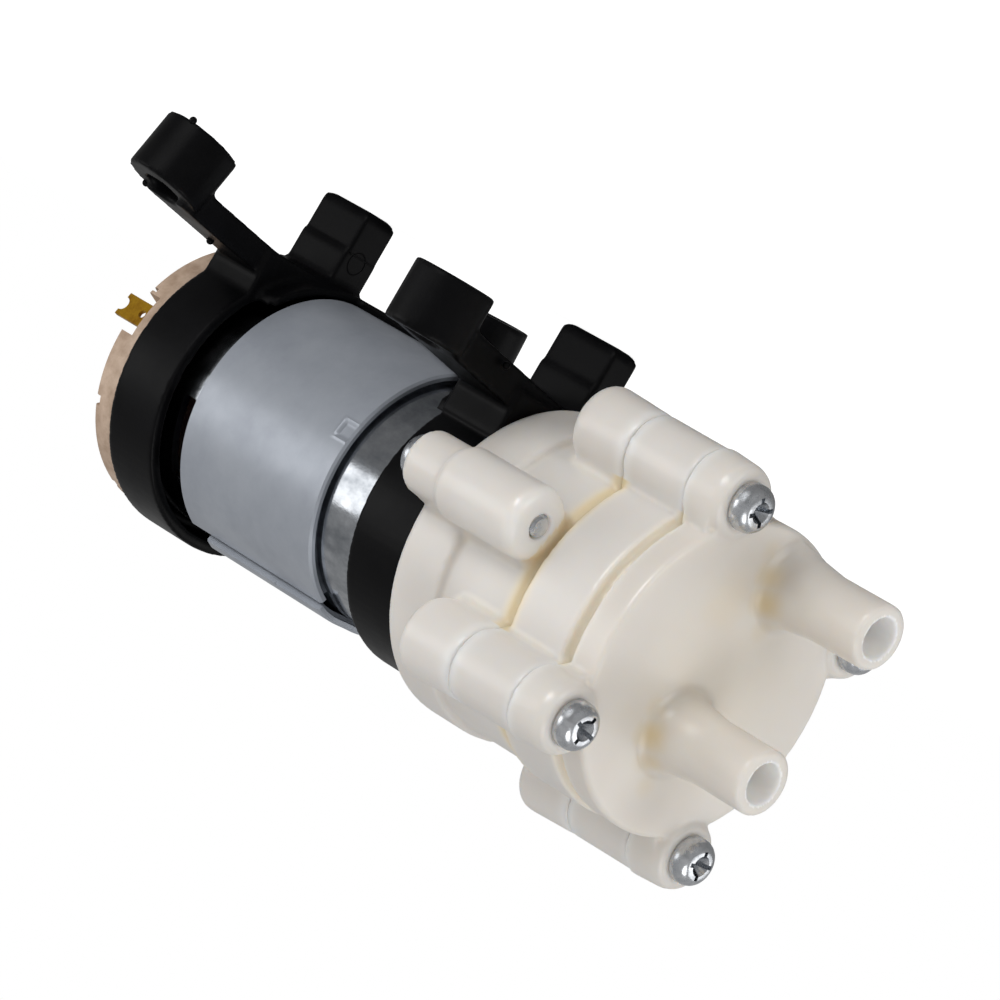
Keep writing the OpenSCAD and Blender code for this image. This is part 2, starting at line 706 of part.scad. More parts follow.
// an umbrella valve on the chamber side of the valve plate
module inlet_valve(k) {
    lip_x = plate_rear_x - running_gap;
    top_x = plate_fore_x + valve_lift + 0.1;
    color("#d8c9a4") placed() around(chamber_turn + k * spread, inlet_valve_pos)
        turned([[lip_x - valve_t, 0], [lip_x - valve_t, 0.7], [lip_x - 0.25, inlet_valve_r], [lip_x, inlet_valve_r],
            [lip_x, valve_stem_r], [top_x, valve_stem_r], [top_x, valve_knob_r], [top_x + 0.3, valve_knob_r],
            [top_x + 0.8, 0.4], [top_x + 0.8, 0]]);
}

module outlet_valve() color("#d8c9a4") placed() {
    lip_x = plate_fore_x + running_gap;
    tail_x = plate_rear_x - valve_lift - 0.1;
    turned([[lip_x + valve_t + 0.3, 0], [lip_x + valve_t + 0.3, 1.4], [lip_x + 0.3, outlet_valve_r],
        [lip_x, outlet_valve_r], [lip_x, valve_stem_r], [tail_x, valve_stem_r], [tail_x, valve_knob_r],
        [tail_x - 0.2, valve_knob_r], [tail_x - 0.3, 0.4], [tail_x - 0.3, 0]]);
}

// the inlet and outlet spaces as one cutting shape behind the cover's face
module cover_pockets(x, deep, grow) {
    rib_w = 1.4;
    guard_r = nozzle_bore_d / 2 + 1.2 - grow;
    rod(x, outlet_pocket_r + grow, deep);
    around(head_turn, outlet_offset) rod(x, nozzle_bore_d / 2 + 0.2 + grow, deep);
    difference() {
        pipe(x, inlet_pocket_out_r + grow, inlet_pocket_in_r - grow, deep);
        around(head_turn, outlet_offset) rod(x - 1, guard_r, deep + 2);
        rotate([head_turn, 0, 0]) translate([x - 1, outlet_offset, grow - rib_w / 2])
            cube([deep + 2, head_r, rib_w - 2 * grow]);
    }
}

module cover_gasket() color("#26262a") placed() {
    difference() {
        rod(gasket_back_x, stack_r - soft_gap, gasket_t - 0.05);
        cover_pockets(gasket_back_x - 1, gasket_t + 2, 0.1);
    }
}

// one hose nozzle at an angle and distance from the motor axis
module nozzle(angle, offset) {
    r = nozzle_d / 2;
    nozzle_round = 0.25;
    around(angle, offset)
        turned([[cover_face_x - 1, 0], [cover_face_x - 1, r + 1.5], [cover_face_x + 0.3, r + 1.5],
            [cover_face_x + 0.8, r + 0.9], [cover_face_x + 1.8, r + 0.5], [cover_face_x + 5.4, r],
            [nozzle_tip_x - nozzle_round, r], [nozzle_tip_x, r - nozzle_round], [nozzle_tip_x, 0]]);
}

module front_cover() color("ivory") placed() {
    back = cover_back_x;
    face = cover_face_x;
    deep = pocket_deep;
    boss_r = screw_boss_d / 2 - boss_taper + 0.1;
    rim = 0.4;
    difference() {
        union() {
            turned([[back, 0], [back, groove_r], [back + 0.2, groove_r], [back + 0.2, head_r - 0.2],
                [face - rim, head_r - 0.15], [face - rim * 0.3, head_r - 0.15 - rim * 0.3],
                [face, head_r - rim - 0.15], [face + 0.15, 13], [face + 0.3, 6], [face + 0.3, 0]]);
            for (k = [0:3]) around(head_turn + 45 + 90 * k, screw_circle_r)
                turned([[back - 0.35, 0], [back - 0.35, boss_r], [boss_face_x - 1.1, boss_r - 0.25],
                    [boss_face_x - 0.3, boss_r - 0.55], [boss_face_x, boss_r - 1], [boss_face_x, 0]]);
            boss_webs(back - 0.35, face - rim - back);
            intersection() {
                union() {
                    nozzle(head_turn, outlet_offset);
                    nozzle(head_turn + 180, inlet_offset);
                }
                rod(cover_face_x - 2, head_r - 0.8, nozzle_len + 4);
            }
        }
        rod(back - 1, groove_r + seat_gap, 1);
        cover_pockets(back - eps, deep + eps, 0);
        around(head_turn, outlet_offset) rod(back + 1, nozzle_bore_d / 2, nozzle_len + 8);
        around(head_turn + 180, inlet_offset) rod(back + 1, nozzle_bore_d / 2, nozzle_len + 8);
        screw_holes(back - 2, shank_r + 0.2, 12);
    }
}

module cover_screws() color("silver") placed() {
    seat = boss_face_x + seat_gap;
    for (k = [0:3]) around(head_turn + 45 + 90 * k, screw_circle_r)
        pan_screw(seat, screw_head_r, head_thick, shank_r, cover_screw_len);
}

motor_can();
flux_ring();
end_cap();
terminals();
brush_arms();
brushes();
magnets();
rear_bearing();
front_bearing();
motor_shaft();
armature_core();
windings();
commutator_hub();
commutator_bars();
thrust_washers();
bracket();
pump_base();
motor_screws();
ear_screws();
eccentric_hub();
drive_pin();
wobble_plate();
pivot_ball();
diaphragm_holder();
diaphragm();
valve_plate();
inlet_valve(0);  // inlet_valve_1
inlet_valve(1);  // inlet_valve_2
inlet_valve(2);  // inlet_valve_3
outlet_valve();
cover_gasket();
front_cover();
cover_screws();
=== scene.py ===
"""Looks of a small diaphragm pump: an ivory wobble-plate head and a motor in a black bracket."""

from __future__ import annotations

import json
import logging
import math
from dataclasses import dataclass, field
from enum import Enum
from typing import Any, ClassVar

import bmesh
import bpy
import numpy as np
from bmesh.types import BMesh
from bpy.types import Material, Mesh, Node, NodeSocket, NodeTree, Object, World
from mathutils import Matrix, Vector

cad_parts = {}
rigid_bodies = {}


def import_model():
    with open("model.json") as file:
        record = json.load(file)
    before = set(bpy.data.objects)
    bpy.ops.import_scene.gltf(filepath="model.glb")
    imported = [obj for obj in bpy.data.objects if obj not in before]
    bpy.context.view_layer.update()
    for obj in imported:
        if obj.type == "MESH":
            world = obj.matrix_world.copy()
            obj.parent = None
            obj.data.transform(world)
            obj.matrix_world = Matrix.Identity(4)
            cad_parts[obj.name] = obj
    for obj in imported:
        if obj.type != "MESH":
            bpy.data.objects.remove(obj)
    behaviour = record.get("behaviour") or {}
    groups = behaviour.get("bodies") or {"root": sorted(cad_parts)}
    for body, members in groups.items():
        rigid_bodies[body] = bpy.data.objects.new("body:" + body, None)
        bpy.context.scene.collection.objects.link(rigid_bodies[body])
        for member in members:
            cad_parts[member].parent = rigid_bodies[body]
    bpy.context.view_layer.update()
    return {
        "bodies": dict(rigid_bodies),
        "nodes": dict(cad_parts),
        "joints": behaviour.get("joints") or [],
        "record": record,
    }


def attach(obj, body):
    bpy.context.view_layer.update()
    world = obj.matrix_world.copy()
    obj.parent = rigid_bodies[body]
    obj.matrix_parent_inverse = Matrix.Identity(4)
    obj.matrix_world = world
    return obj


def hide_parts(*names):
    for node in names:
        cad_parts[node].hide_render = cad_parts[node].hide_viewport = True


LOG = logging.getLogger("pump")
# one millimetre in metres
MM = 0.001
# points nearer than this are one, in axis millimetres and, for a copied solid, in metres
JOIN_WITHIN = 1e-4
JOIN_WITHIN_M = 1e-6
FULL_TURN = 360.0
# edges that bend more than this many degrees stay sharp
SHARP_DEG = 35.0


def linear(hex_colour: str) -> tuple[float, float, float, float]:
    """Turns an sRGB hex colour into linear values.

    Args:
        hex_colour: Six hex digits, with or without a leading hash.

    Returns:
        Red, green, blue and an alpha of 1.
    """
    digits = hex_colour.lstrip("#")
    out = []
    for i in (0, 2, 4):
        c = int(digits[i:i + 2], 16) / 255
        out.append(c / 12.92 if c <= 0.04045 else ((c + 0.055) / 1.055) ** 2.4)
    return (out[0], out[1], out[2], 1.0)


def add_node(
    tree: NodeTree,
    kind: str,
    inputs: dict[Any, Any] | None = None,
    **settings: Any,
) -> Node:
    """Adds one node with its settings and what goes into it.

    Args:
        tree: The tree that takes the node.
        kind: Blender's name for the node's class.
        inputs: Socket name or index to a constant, to the socket that feeds it, or to a node whose first
            output feeds it.
        **settings: Attributes of the node itself, such as an operation.

    Returns:
        The new node.
    """
    node = tree.nodes.new(kind)
    for key, value in settings.items():
        setattr(node, key, value)
    for key, value in (inputs or {}).items():
        source = value.outputs[0] if isinstance(value, Node) else value
        if isinstance(source, NodeSocket):
            tree.links.new(source, node.inputs[key])
        else:
            node.inputs[key].default_value = source
    return node


def empty_tree(owner: Material | World) -> NodeTree:
    """Turns nodes on for a material or a world and clears its tree.

    Args:
        owner: What the tree belongs to.

    Returns:
        The empty tree.
    """
    owner.use_nodes = True
    owner.node_tree.nodes.clear()
    return owner.node_tree


def add_object(name: str, data: Any) -> Object:
    """Links a new object into the scene.

    Args:
        name: The object's name.
        data: Its mesh, camera or lamp.

    Returns:
        The object, at the origin.
    """
    obj = bpy.data.objects.new(name, data)
    bpy.context.scene.collection.objects.link(obj)
    return obj


class Body(Enum):
    """Bodies of the solid model that new pieces ride on."""

    HOUSING = "housing"
    ROTOR = "rotor"


class Facing(Enum):
    """Which way a screw's head looks along the motor axis."""

    FRONT = 0.0
    REAR = math.pi


@dataclass(frozen=True)
class Layout:
    """Stations of the pump along its axis in millimetres, as the solid model has them."""

    axis_height: float = 24.5
    head_turn: float = 76.25
    boss_face: float = 0.5
    cover_back: float = -3.95
    holder_back: float = -12.85
    base_back: float = -30.15
    can_front: float = -37.95
    can_rear: float = -77.95
    terminal_tip: float = -87.95
    nozzle_tip: float = 13.0
    flux_front: float = -45.25
    flux_back: float = -67.25
    rear_ring_front: float = -70.35
    head_r: float = 17.4
    can_r: float = 13.85
    flux_r: float = 15.0
    seat_gap: float = 0.02
    screw_circle: float = 19.6
    ear_circle: float = 19.7
    outlet_offset: float = 6.2
    inlet_offset: float = 12.4

    @property
    def middle(self) -> float:
        """Station that lies over the origin."""
        return (self.terminal_tip + self.nozzle_tip) / 2

    def place(self) -> Matrix:
        """Turns millimetres in the axis frame into metres in the part's frame."""
        shift = Matrix.Translation((-self.middle * MM, 0, self.axis_height * MM))
        return shift @ Matrix.Scale(MM, 4)

    def polar(self, x: float, angle: float, radius: float) -> Vector:
        """Gives a point of the axis frame from an angle about the axis.

        Args:
            x: Station along the axis.
            angle: Degrees from +Y towards +Z.
            radius: Distance from the axis.

        Returns:
            The point in millimetres.
        """
        a = math.radians(angle)
        return Vector((x, radius * math.cos(a), radius * math.sin(a)))


LAYOUT = Layout()


@dataclass(frozen=True)
class Finish:
    """A surface: what it is made of, its two tones, its gloss and its grain."""

    name: str
    tone: str
    second: str
    metallic: float = 0.0
    roughness: float = 0.5
    rough_spread: float = 0.06
    grain_mm: float = 1.5
    patch_mm: float = 9.0
    patch_detail: float = 4.0
    bump_mm: float = 0.01
    ior: float = 1.5
    coat: float = 0.0
    specular: float = 0.5
    stretch: tuple[float, float, float] = (1.0, 1.0, 1.0)
    tone_range: ClassVar[dict[str, float]] = {"From Min": 0.35, "From Max": 0.7}
    rough_range: ClassVar[dict[str, float]] = {"From Min": 0.3, "From Max": 0.7}
    coat_roughness: ClassVar[float] = 0.12
    metal_from: ClassVar[float] = 0.5

    def colour(self, tree: NodeTree, patch: Node) -> NodeSocket:
        """Mixes the two tones by the patch pattern.

        Args:
            tree: The material's tree.
            patch: The node of the patch pattern, from 0 to 1.

        Returns:
            The colour socket.
        """
        ramp = add_node(tree, "ShaderNodeMapRange", {**self.tone_range, "Value": patch})
        mix = add_node(tree, "ShaderNodeMix", {0: ramp, 6: linear(self.tone), 7: linear(self.second)},
                       data_type="RGBA")
        return mix.outputs[2]

    def extra(self, tree: NodeTree, shader: Node) -> None:
        """Sets what only some finishes have."""

    def material(self) -> Material:
        """Builds the material once and gives it back on later calls.

        Returns:
            The material.
        """
        known = bpy.data.materials.get(self.name)
        if known:
            return known
        mat = bpy.data.materials.new(self.name)
        tree = empty_tree(mat)
        coords = add_node(tree, "ShaderNodeTexCoord")
        place = add_node(tree, "ShaderNodeMapping",
                         {"Scale": self.stretch, "Vector": coords.outputs["Object"]})
        patch, grain = (
            add_node(tree, "ShaderNodeTexNoise",
                     {"Scale": 1 / (width * MM), "Detail": detail, "Roughness": mixed, "Vector": place})
            for width, detail, mixed in ((self.patch_mm, self.patch_detail, 0.6),
                                         (self.grain_mm, 3.0, 0.55)))
        rough = add_node(tree, "ShaderNodeMapRange",
                         {**self.rough_range, "To Min": self.roughness - self.rough_spread,
                          "To Max": self.roughness + self.rough_spread, "Value": patch})
        bump = add_node(tree, "ShaderNodeBump",
                        {"Strength": 1.0, "Distance": self.bump_mm * MM, "Height": grain})
        shader = add_node(tree, "ShaderNodeBsdfPrincipled",
                          {"Metallic": self.metallic, "Coat Weight": self.coat,
                           "Coat Roughness": self.coat_roughness, "Base Color": self.colour(tree, patch),
                           "Roughness": rough, "Normal": bump})
        if self.metallic < self.metal_from:
            shader.inputs["IOR"].default_value = self.ior
            shader.inputs["Specular IOR Level"].default_value = self.specular
        self.extra(tree, shader)
        add_node(tree, "ShaderNodeOutputMaterial", {"Surface": shader})
        mat.diffuse_color = linear(self.tone)
        return mat


@dataclass(frozen=True)
class TranslucentNylon(Finish):
    """Natural moulded polyamide: milky, with painted amber shade and painted glow where light would gather
    in its thin and hollow places.
    """

    # painted amber shade, laid in hollows, at joints and at spots on the cover
    painted_amber_tone: str = "#DCC490"
    # near-white painted glow, laid in hollows, at joints and in the nozzle bores, for light the plastic
    # holds
    inside: str = "#FCFAF7"
    depth_mm: float = 2.4
    depth_share: ClassVar[float] = 0.8
    depth_by_colour: ClassVar[tuple[float, float, float]] = (1.0, 0.84, 0.66)

    def colour(self, tree: NodeTree, patch: Node) -> NodeSocket:
        """Lays painted glow, for light held in bores, joints and hollows, then painted amber shade, over the
        milky tones.

        Args:
            tree: The material's tree.
            patch: The node of the patch pattern, from 0 to 1.

        Returns:
            The colour socket.
        """
        milky = super().colour(tree, patch)
        # painted glow goes on first, painted amber shade over it
        for name, tone in (("painted_glow", self.inside), ("painted_amber", self.painted_amber_tone)):
            share = add_node(tree, "ShaderNodeAttribute", attribute_name=name)
            mix = add_node(tree, "ShaderNodeMix", {7: linear(tone), 0: share.outputs["Fac"], 6: milky},
                           data_type="RGBA")
            milky = mix.outputs[2]
        return milky

    def extra(self, tree: NodeTree, shader: Node) -> None:
        """Lets light into the plastic to a depth of a millimetre or two."""
        shader.inputs["Subsurface Weight"].default_value = self.depth_share
        shader.inputs["Subsurface Radius"].default_value = self.depth_by_colour
        shader.inputs["Subsurface Scale"].default_value = self.depth_mm * MM


# natural polyamide, injection moulded: satin and milky; its gloss varies little, so no patch shows an edge
NYLON = TranslucentNylon("polyamide_natural_moulded", "#DFDBD6", "#D9D4CE", roughness=0.31,
                         rough_spread=0.02, grain_mm=0.7, patch_mm=14, patch_detail=2.0, bump_mm=0.005,
                         ior=1.53)
# glass-filled polyamide, moulded and black: a faint leathery sheen
BLACK = Finish("polyamide_black_moulded", "#050506", "#08080A", roughness=0.38, rough_spread=0.07,
               grain_mm=0.35, patch_mm=6, bump_mm=0.008, ior=1.52, specular=0.08)
# rolled steel strip, zinc plated and passivated: satin blue-grey with cloudy patches
FLUX_STEEL = Finish("steel_zinc_satin", "#A3A8B0", "#979CA5", metallic=0.35, roughness=0.38,
                    rough_spread=0.05, grain_mm=0.25, patch_mm=5, bump_mm=0.004)
# deep-drawn steel, bright zinc: streaks run along the draw
CAN_STEEL = Finish("steel_zinc_bright", "#B4B7BB", "#83878C", metallic=1.0, roughness=0.15,
                   rough_spread=0.07, grain_mm=0.32, patch_mm=2.2, bump_mm=0.007, stretch=(0.7, 1.0, 1.0))
# filled thermoplastic, moulded: dull pinkish beige with brown clouds
CAP_PLASTIC = Finish("polyester_beige_moulded", "#C9B19C", "#9E846E", roughness=0.6, rough_spread=0.08,
                     grain_mm=0.6, patch_mm=2.6, bump_mm=0.012)
# stamped brass sheet, handled: yellow with brown stains
BRASS = Finish("brass_stamped", "#CFA02B", "#8A5F14", metallic=0.9, roughness=0.36, rough_spread=0.1,
               grain_mm=0.3, patch_mm=1.4, bump_mm=0.006)
# cold-headed steel, bright zinc: crisp highlights
SCREW_STEEL = Finish("screw_zinc_bright", "#D8DADD", "#B4B8BD", metallic=1.0, roughness=0.24,
                     rough_spread=0.08, grain_mm=0.45, patch_mm=1.0, bump_mm=0.014)
# ground carbon steel: bright and even, with fine marks round the shaft
GROUND_STEEL = Finish("steel_ground", "#BBBEC1", "#A5A8AC", metallic=1.0, roughness=0.22, grain_mm=0.15,
                      patch_mm=3, bump_mm=0.002, stretch=(1.0, 6.0, 6.0))
# stacked electrical sheet under varnish: dull grey in fine layers
LAMINATION = Finish("steel_laminated_varnished", "#5A5D63", "#474A50", metallic=0.8, roughness=0.42,
                    grain_mm=0.5, patch_mm=3, bump_mm=0.02, stretch=(4.0, 0.3, 0.3))
# enamelled copper wire: orange under a glossy clear coat
COPPER_WIRE = Finish("copper_enamelled", "#B5622F", "#8E4319", metallic=0.85, roughness=0.28, grain_mm=0.3,
                     patch_mm=1.5, bump_mm=0.05, coat=0.5)
# turned copper: reddish and bright
COPPER = Finish("copper_turned", "#C88257", "#A9643C", metallic=1.0, roughness=0.3, grain_mm=0.2, patch_mm=2,
                bump_mm=0.003)
# moulded phenolic: an even, dull brown
PHENOLIC = Finish("phenolic_moulded", "#5A3322", "#472619", roughness=0.45, grain_mm=0.3, patch_mm=2)
# pressed carbon: sooty and matt
CARBON = Finish("carbon_pressed", "#2B2B2D", "#1D1D1F", roughness=0.62, grain_mm=0.15, patch_mm=1)
# sintered ferrite: dark grey, matt and a little rough
FERRITE = Finish("ferrite_sintered", "#3A3B3E", "#2C2D30", roughness=0.7, grain_mm=0.2, patch_mm=2,
                 bump_mm=0.02)
# sintered bronze, oil filled: dull gold with fine pores
BRONZE = Finish("bronze_sintered", "#A77F4B", "#8B6637", metallic=0.8, roughness=0.5, grain_mm=0.12,
                patch_mm=1.5)
# acetal, moulded white: even, with a soft sheen
ACETAL = Finish("acetal_white_moulded", "#ECEAE4", "#E2DFD7", roughness=0.35, grain_mm=0.5, patch_mm=6,
                bump_mm=0.004)
# moulded black rubber: near black and matt
RUBBER = Finish("rubber_black_moulded", "#1E1E20", "#29292C", roughness=0.68, grain_mm=0.2, patch_mm=2)
# clear silicone rubber in thin lips: pale and milky
SILICONE = Finish("silicone_clear_moulded", "#DCD2BA", "#CFC3A6", roughness=0.4, grain_mm=0.4, patch_mm=3)


def write_placed(bm: BMesh, mesh: Mesh, sharp_deg: float) -> None:
    """Joins a shape's doubles, turns its faces outwards and writes it to a mesh at its place in the part.

    Args:
        bm: The shape in axis millimetres, freed here.
        mesh: Takes the shape, in metres in the part's frame.
        sharp_deg: Edges that bend more than this stay sharp.
    """
    bmesh.ops.remove_doubles(bm, verts=bm.verts, dist=JOIN_WITHIN)
    bmesh.ops.recalc_face_normals(bm, faces=bm.faces)
    bmesh.ops.transform(bm, matrix=LAYOUT.place(), verts=bm.verts)
    bm.to_mesh(mesh)
    bm.free()
    mesh.shade_smooth()
    mesh.set_sharp_from_angle(angle=math.radians(sharp_deg))


def from_bmesh(name: str, bm: BMesh, sharp_deg: float = SHARP_DEG) -> Object:
    """Turns a bmesh in axis millimetres into a placed, shaded object.

    Args:
        name: The piece's name.
        bm: Its shape, freed here.
        sharp_deg: Edges that bend more than this stay sharp.

    Returns:
        The object, at the origin.
    """
    mesh = bpy.data.meshes.new(name)
    write_placed(bm, mesh, sharp_deg)
    return add_object(name, mesh)


def skin(bm: BMesh, rows: list[list[Any]], whole: bool = False) -> None:
    """Joins rows of points with faces.

    Args:
        bm: Takes the faces.
        rows: The points of each row, each row a closed outline in the same order.
        whole: Whether the last row joins the first; if not, both are capped.
    """
    for i in range(len(rows) - (0 if whole else 1)):
        one, two = rows[i], rows[(i + 1) % len(rows)]
        for j in range(len(one)):
            k = (j + 1) % len(one)
            bm.faces.new((one[j], one[k], two[k], two[j]))
    if not whole:
        bm.faces.new(rows[0])
        bm.faces.new(list(reversed(rows[-1])))


def lathe(bm: BMesh, outline: list[tuple[float, float]], steps: int, start: float = 0.0,
          sweep: float = FULL_TURN, centre: tuple[float, float] = (0.0, 0.0)) -> None:
    """Turns a closed outline that stays off its axis, which is parallel to X.

    Args:
        bm: Takes the faces.
        outline: Points (station, radius) in order; the last joins the first.
        steps: Segments round the sweep.
        start: First angle in degrees, from +Y towards +Z.
        sweep: Angle swept; less than a full turn is closed with end caps.
        centre: Y and Z of the axis.
    """
    whole = sweep >= FULL_TURN
    rows = []
    for i in range(steps if whole else steps + 1):
        a = math.radians(start + sweep * i / steps)
        rows.append([bm.verts.new((x, centre[0] + r * math.cos(a), centre[1] + r * math.sin(a)))
                     for x, r in outline])
    skin(bm, rows, whole)


def evaluated(obj: Object) -> None:
    """Applies an object's modifiers to its mesh and removes them."""
    graph = bpy.context.evaluated_depsgraph_get()
    graph.update()
    mesh = bpy.data.meshes.new_from_object(obj.evaluated_get(graph), preserve_all_data_layers=True,
                                           depsgraph=graph)
    obj.modifiers.clear()
    obj.data = mesh


def settle(obj: Object, finish: Finish, slot: str, body: Body, *nodes: str) -> Object:
    """Gives a finished piece its material, its body and the solids it stands for.

    Args:
        obj: The piece, at the origin.
        finish: Its surface.
        slot: The record's material slot of that surface; not used.
        body: What it moves with.
        *nodes: Solids that it stands in for.

    Returns:
        The same piece.
    """
    obj.data.materials.clear()
    obj.data.materials.append(finish.material())
    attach(obj, body.value)
    if nodes:
        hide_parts(*nodes)
    return obj


def merged_copy(frame: dict[str, Any], node: str) -> BMesh:
    """Copies a solid's mesh and joins its loose triangles.

    Args:
        node: The solid's name.

    Returns:
        The copy, in metres in the part's frame.
    """
    bm = bmesh.new()
    bm.from_mesh(frame["nodes"][node].data)
    bmesh.ops.remove_doubles(bm, verts=bm.verts, dist=JOIN_WITHIN_M)
    return bm


@dataclass
class Pattern:
    """Repeated forms grown by Geometry Nodes from a seed mesh in axis millimetres."""

    name: str
    finish: Finish
    inputs: dict[str, float] = field(default_factory=dict)

    def grow(self, tree: NodeTree, seed: NodeSocket, value: dict[str, NodeSocket]) -> NodeSocket:
        """Adds the nodes that turn the seed into the finished form.

        Args:
            tree: The tree to fill.
            seed: The seed's geometry.
            value: The tree's named inputs.

        Returns:
            The geometry, still with its instances.
        """
        raise NotImplementedError

    def build(self, seed: Mesh, sharp_deg: float = SHARP_DEG) -> Object:
        """Runs the tree on the seed and bakes the result to a plain, placed mesh.

        Args:
            seed: Its points and attributes, in axis millimetres.
            sharp_deg: Edges that bend more than this stay sharp.

        Returns:
            The object, at the origin.
        """
        tree = bpy.data.node_groups.new(self.name, "GeometryNodeTree")
        tree.interface.new_socket(name="Geometry", in_out="INPUT", socket_type="NodeSocketGeometry")
        tree.interface.new_socket(name="Geometry", in_out="OUTPUT", socket_type="NodeSocketGeometry")
        for title, number in self.inputs.items():
            kind = "NodeSocketInt" if isinstance(number, int) else "NodeSocketFloat"
            tree.interface.new_socket(name=title, in_out="INPUT", socket_type=kind)
        start = add_node(tree, "NodeGroupInput")
        grown = self.grow(tree, start.outputs[0], {title: start.outputs[title] for title in self.inputs})
        real = add_node(tree, "GeometryNodeRealizeInstances", {0: grown})
        done = add_node(tree, "GeometryNodeSetMaterial",
                        {"Material": self.finish.material(), "Geometry": real})
        add_node(tree, "NodeGroupOutput", {0: done})
        obj = add_object(self.name, seed)
        grower = obj.modifiers.new("pattern", "NODES")
        grower.node_group = tree
        for item in tree.interface.items_tree:
            if item.in_out == "INPUT" and item.name in self.inputs:
                grower[item.identifier] = self.inputs[item.name]
        evaluated(obj)
        bm = bmesh.new()
        bm.from_mesh(obj.data)
        write_placed(bm, obj.data, sharp_deg)
        return obj


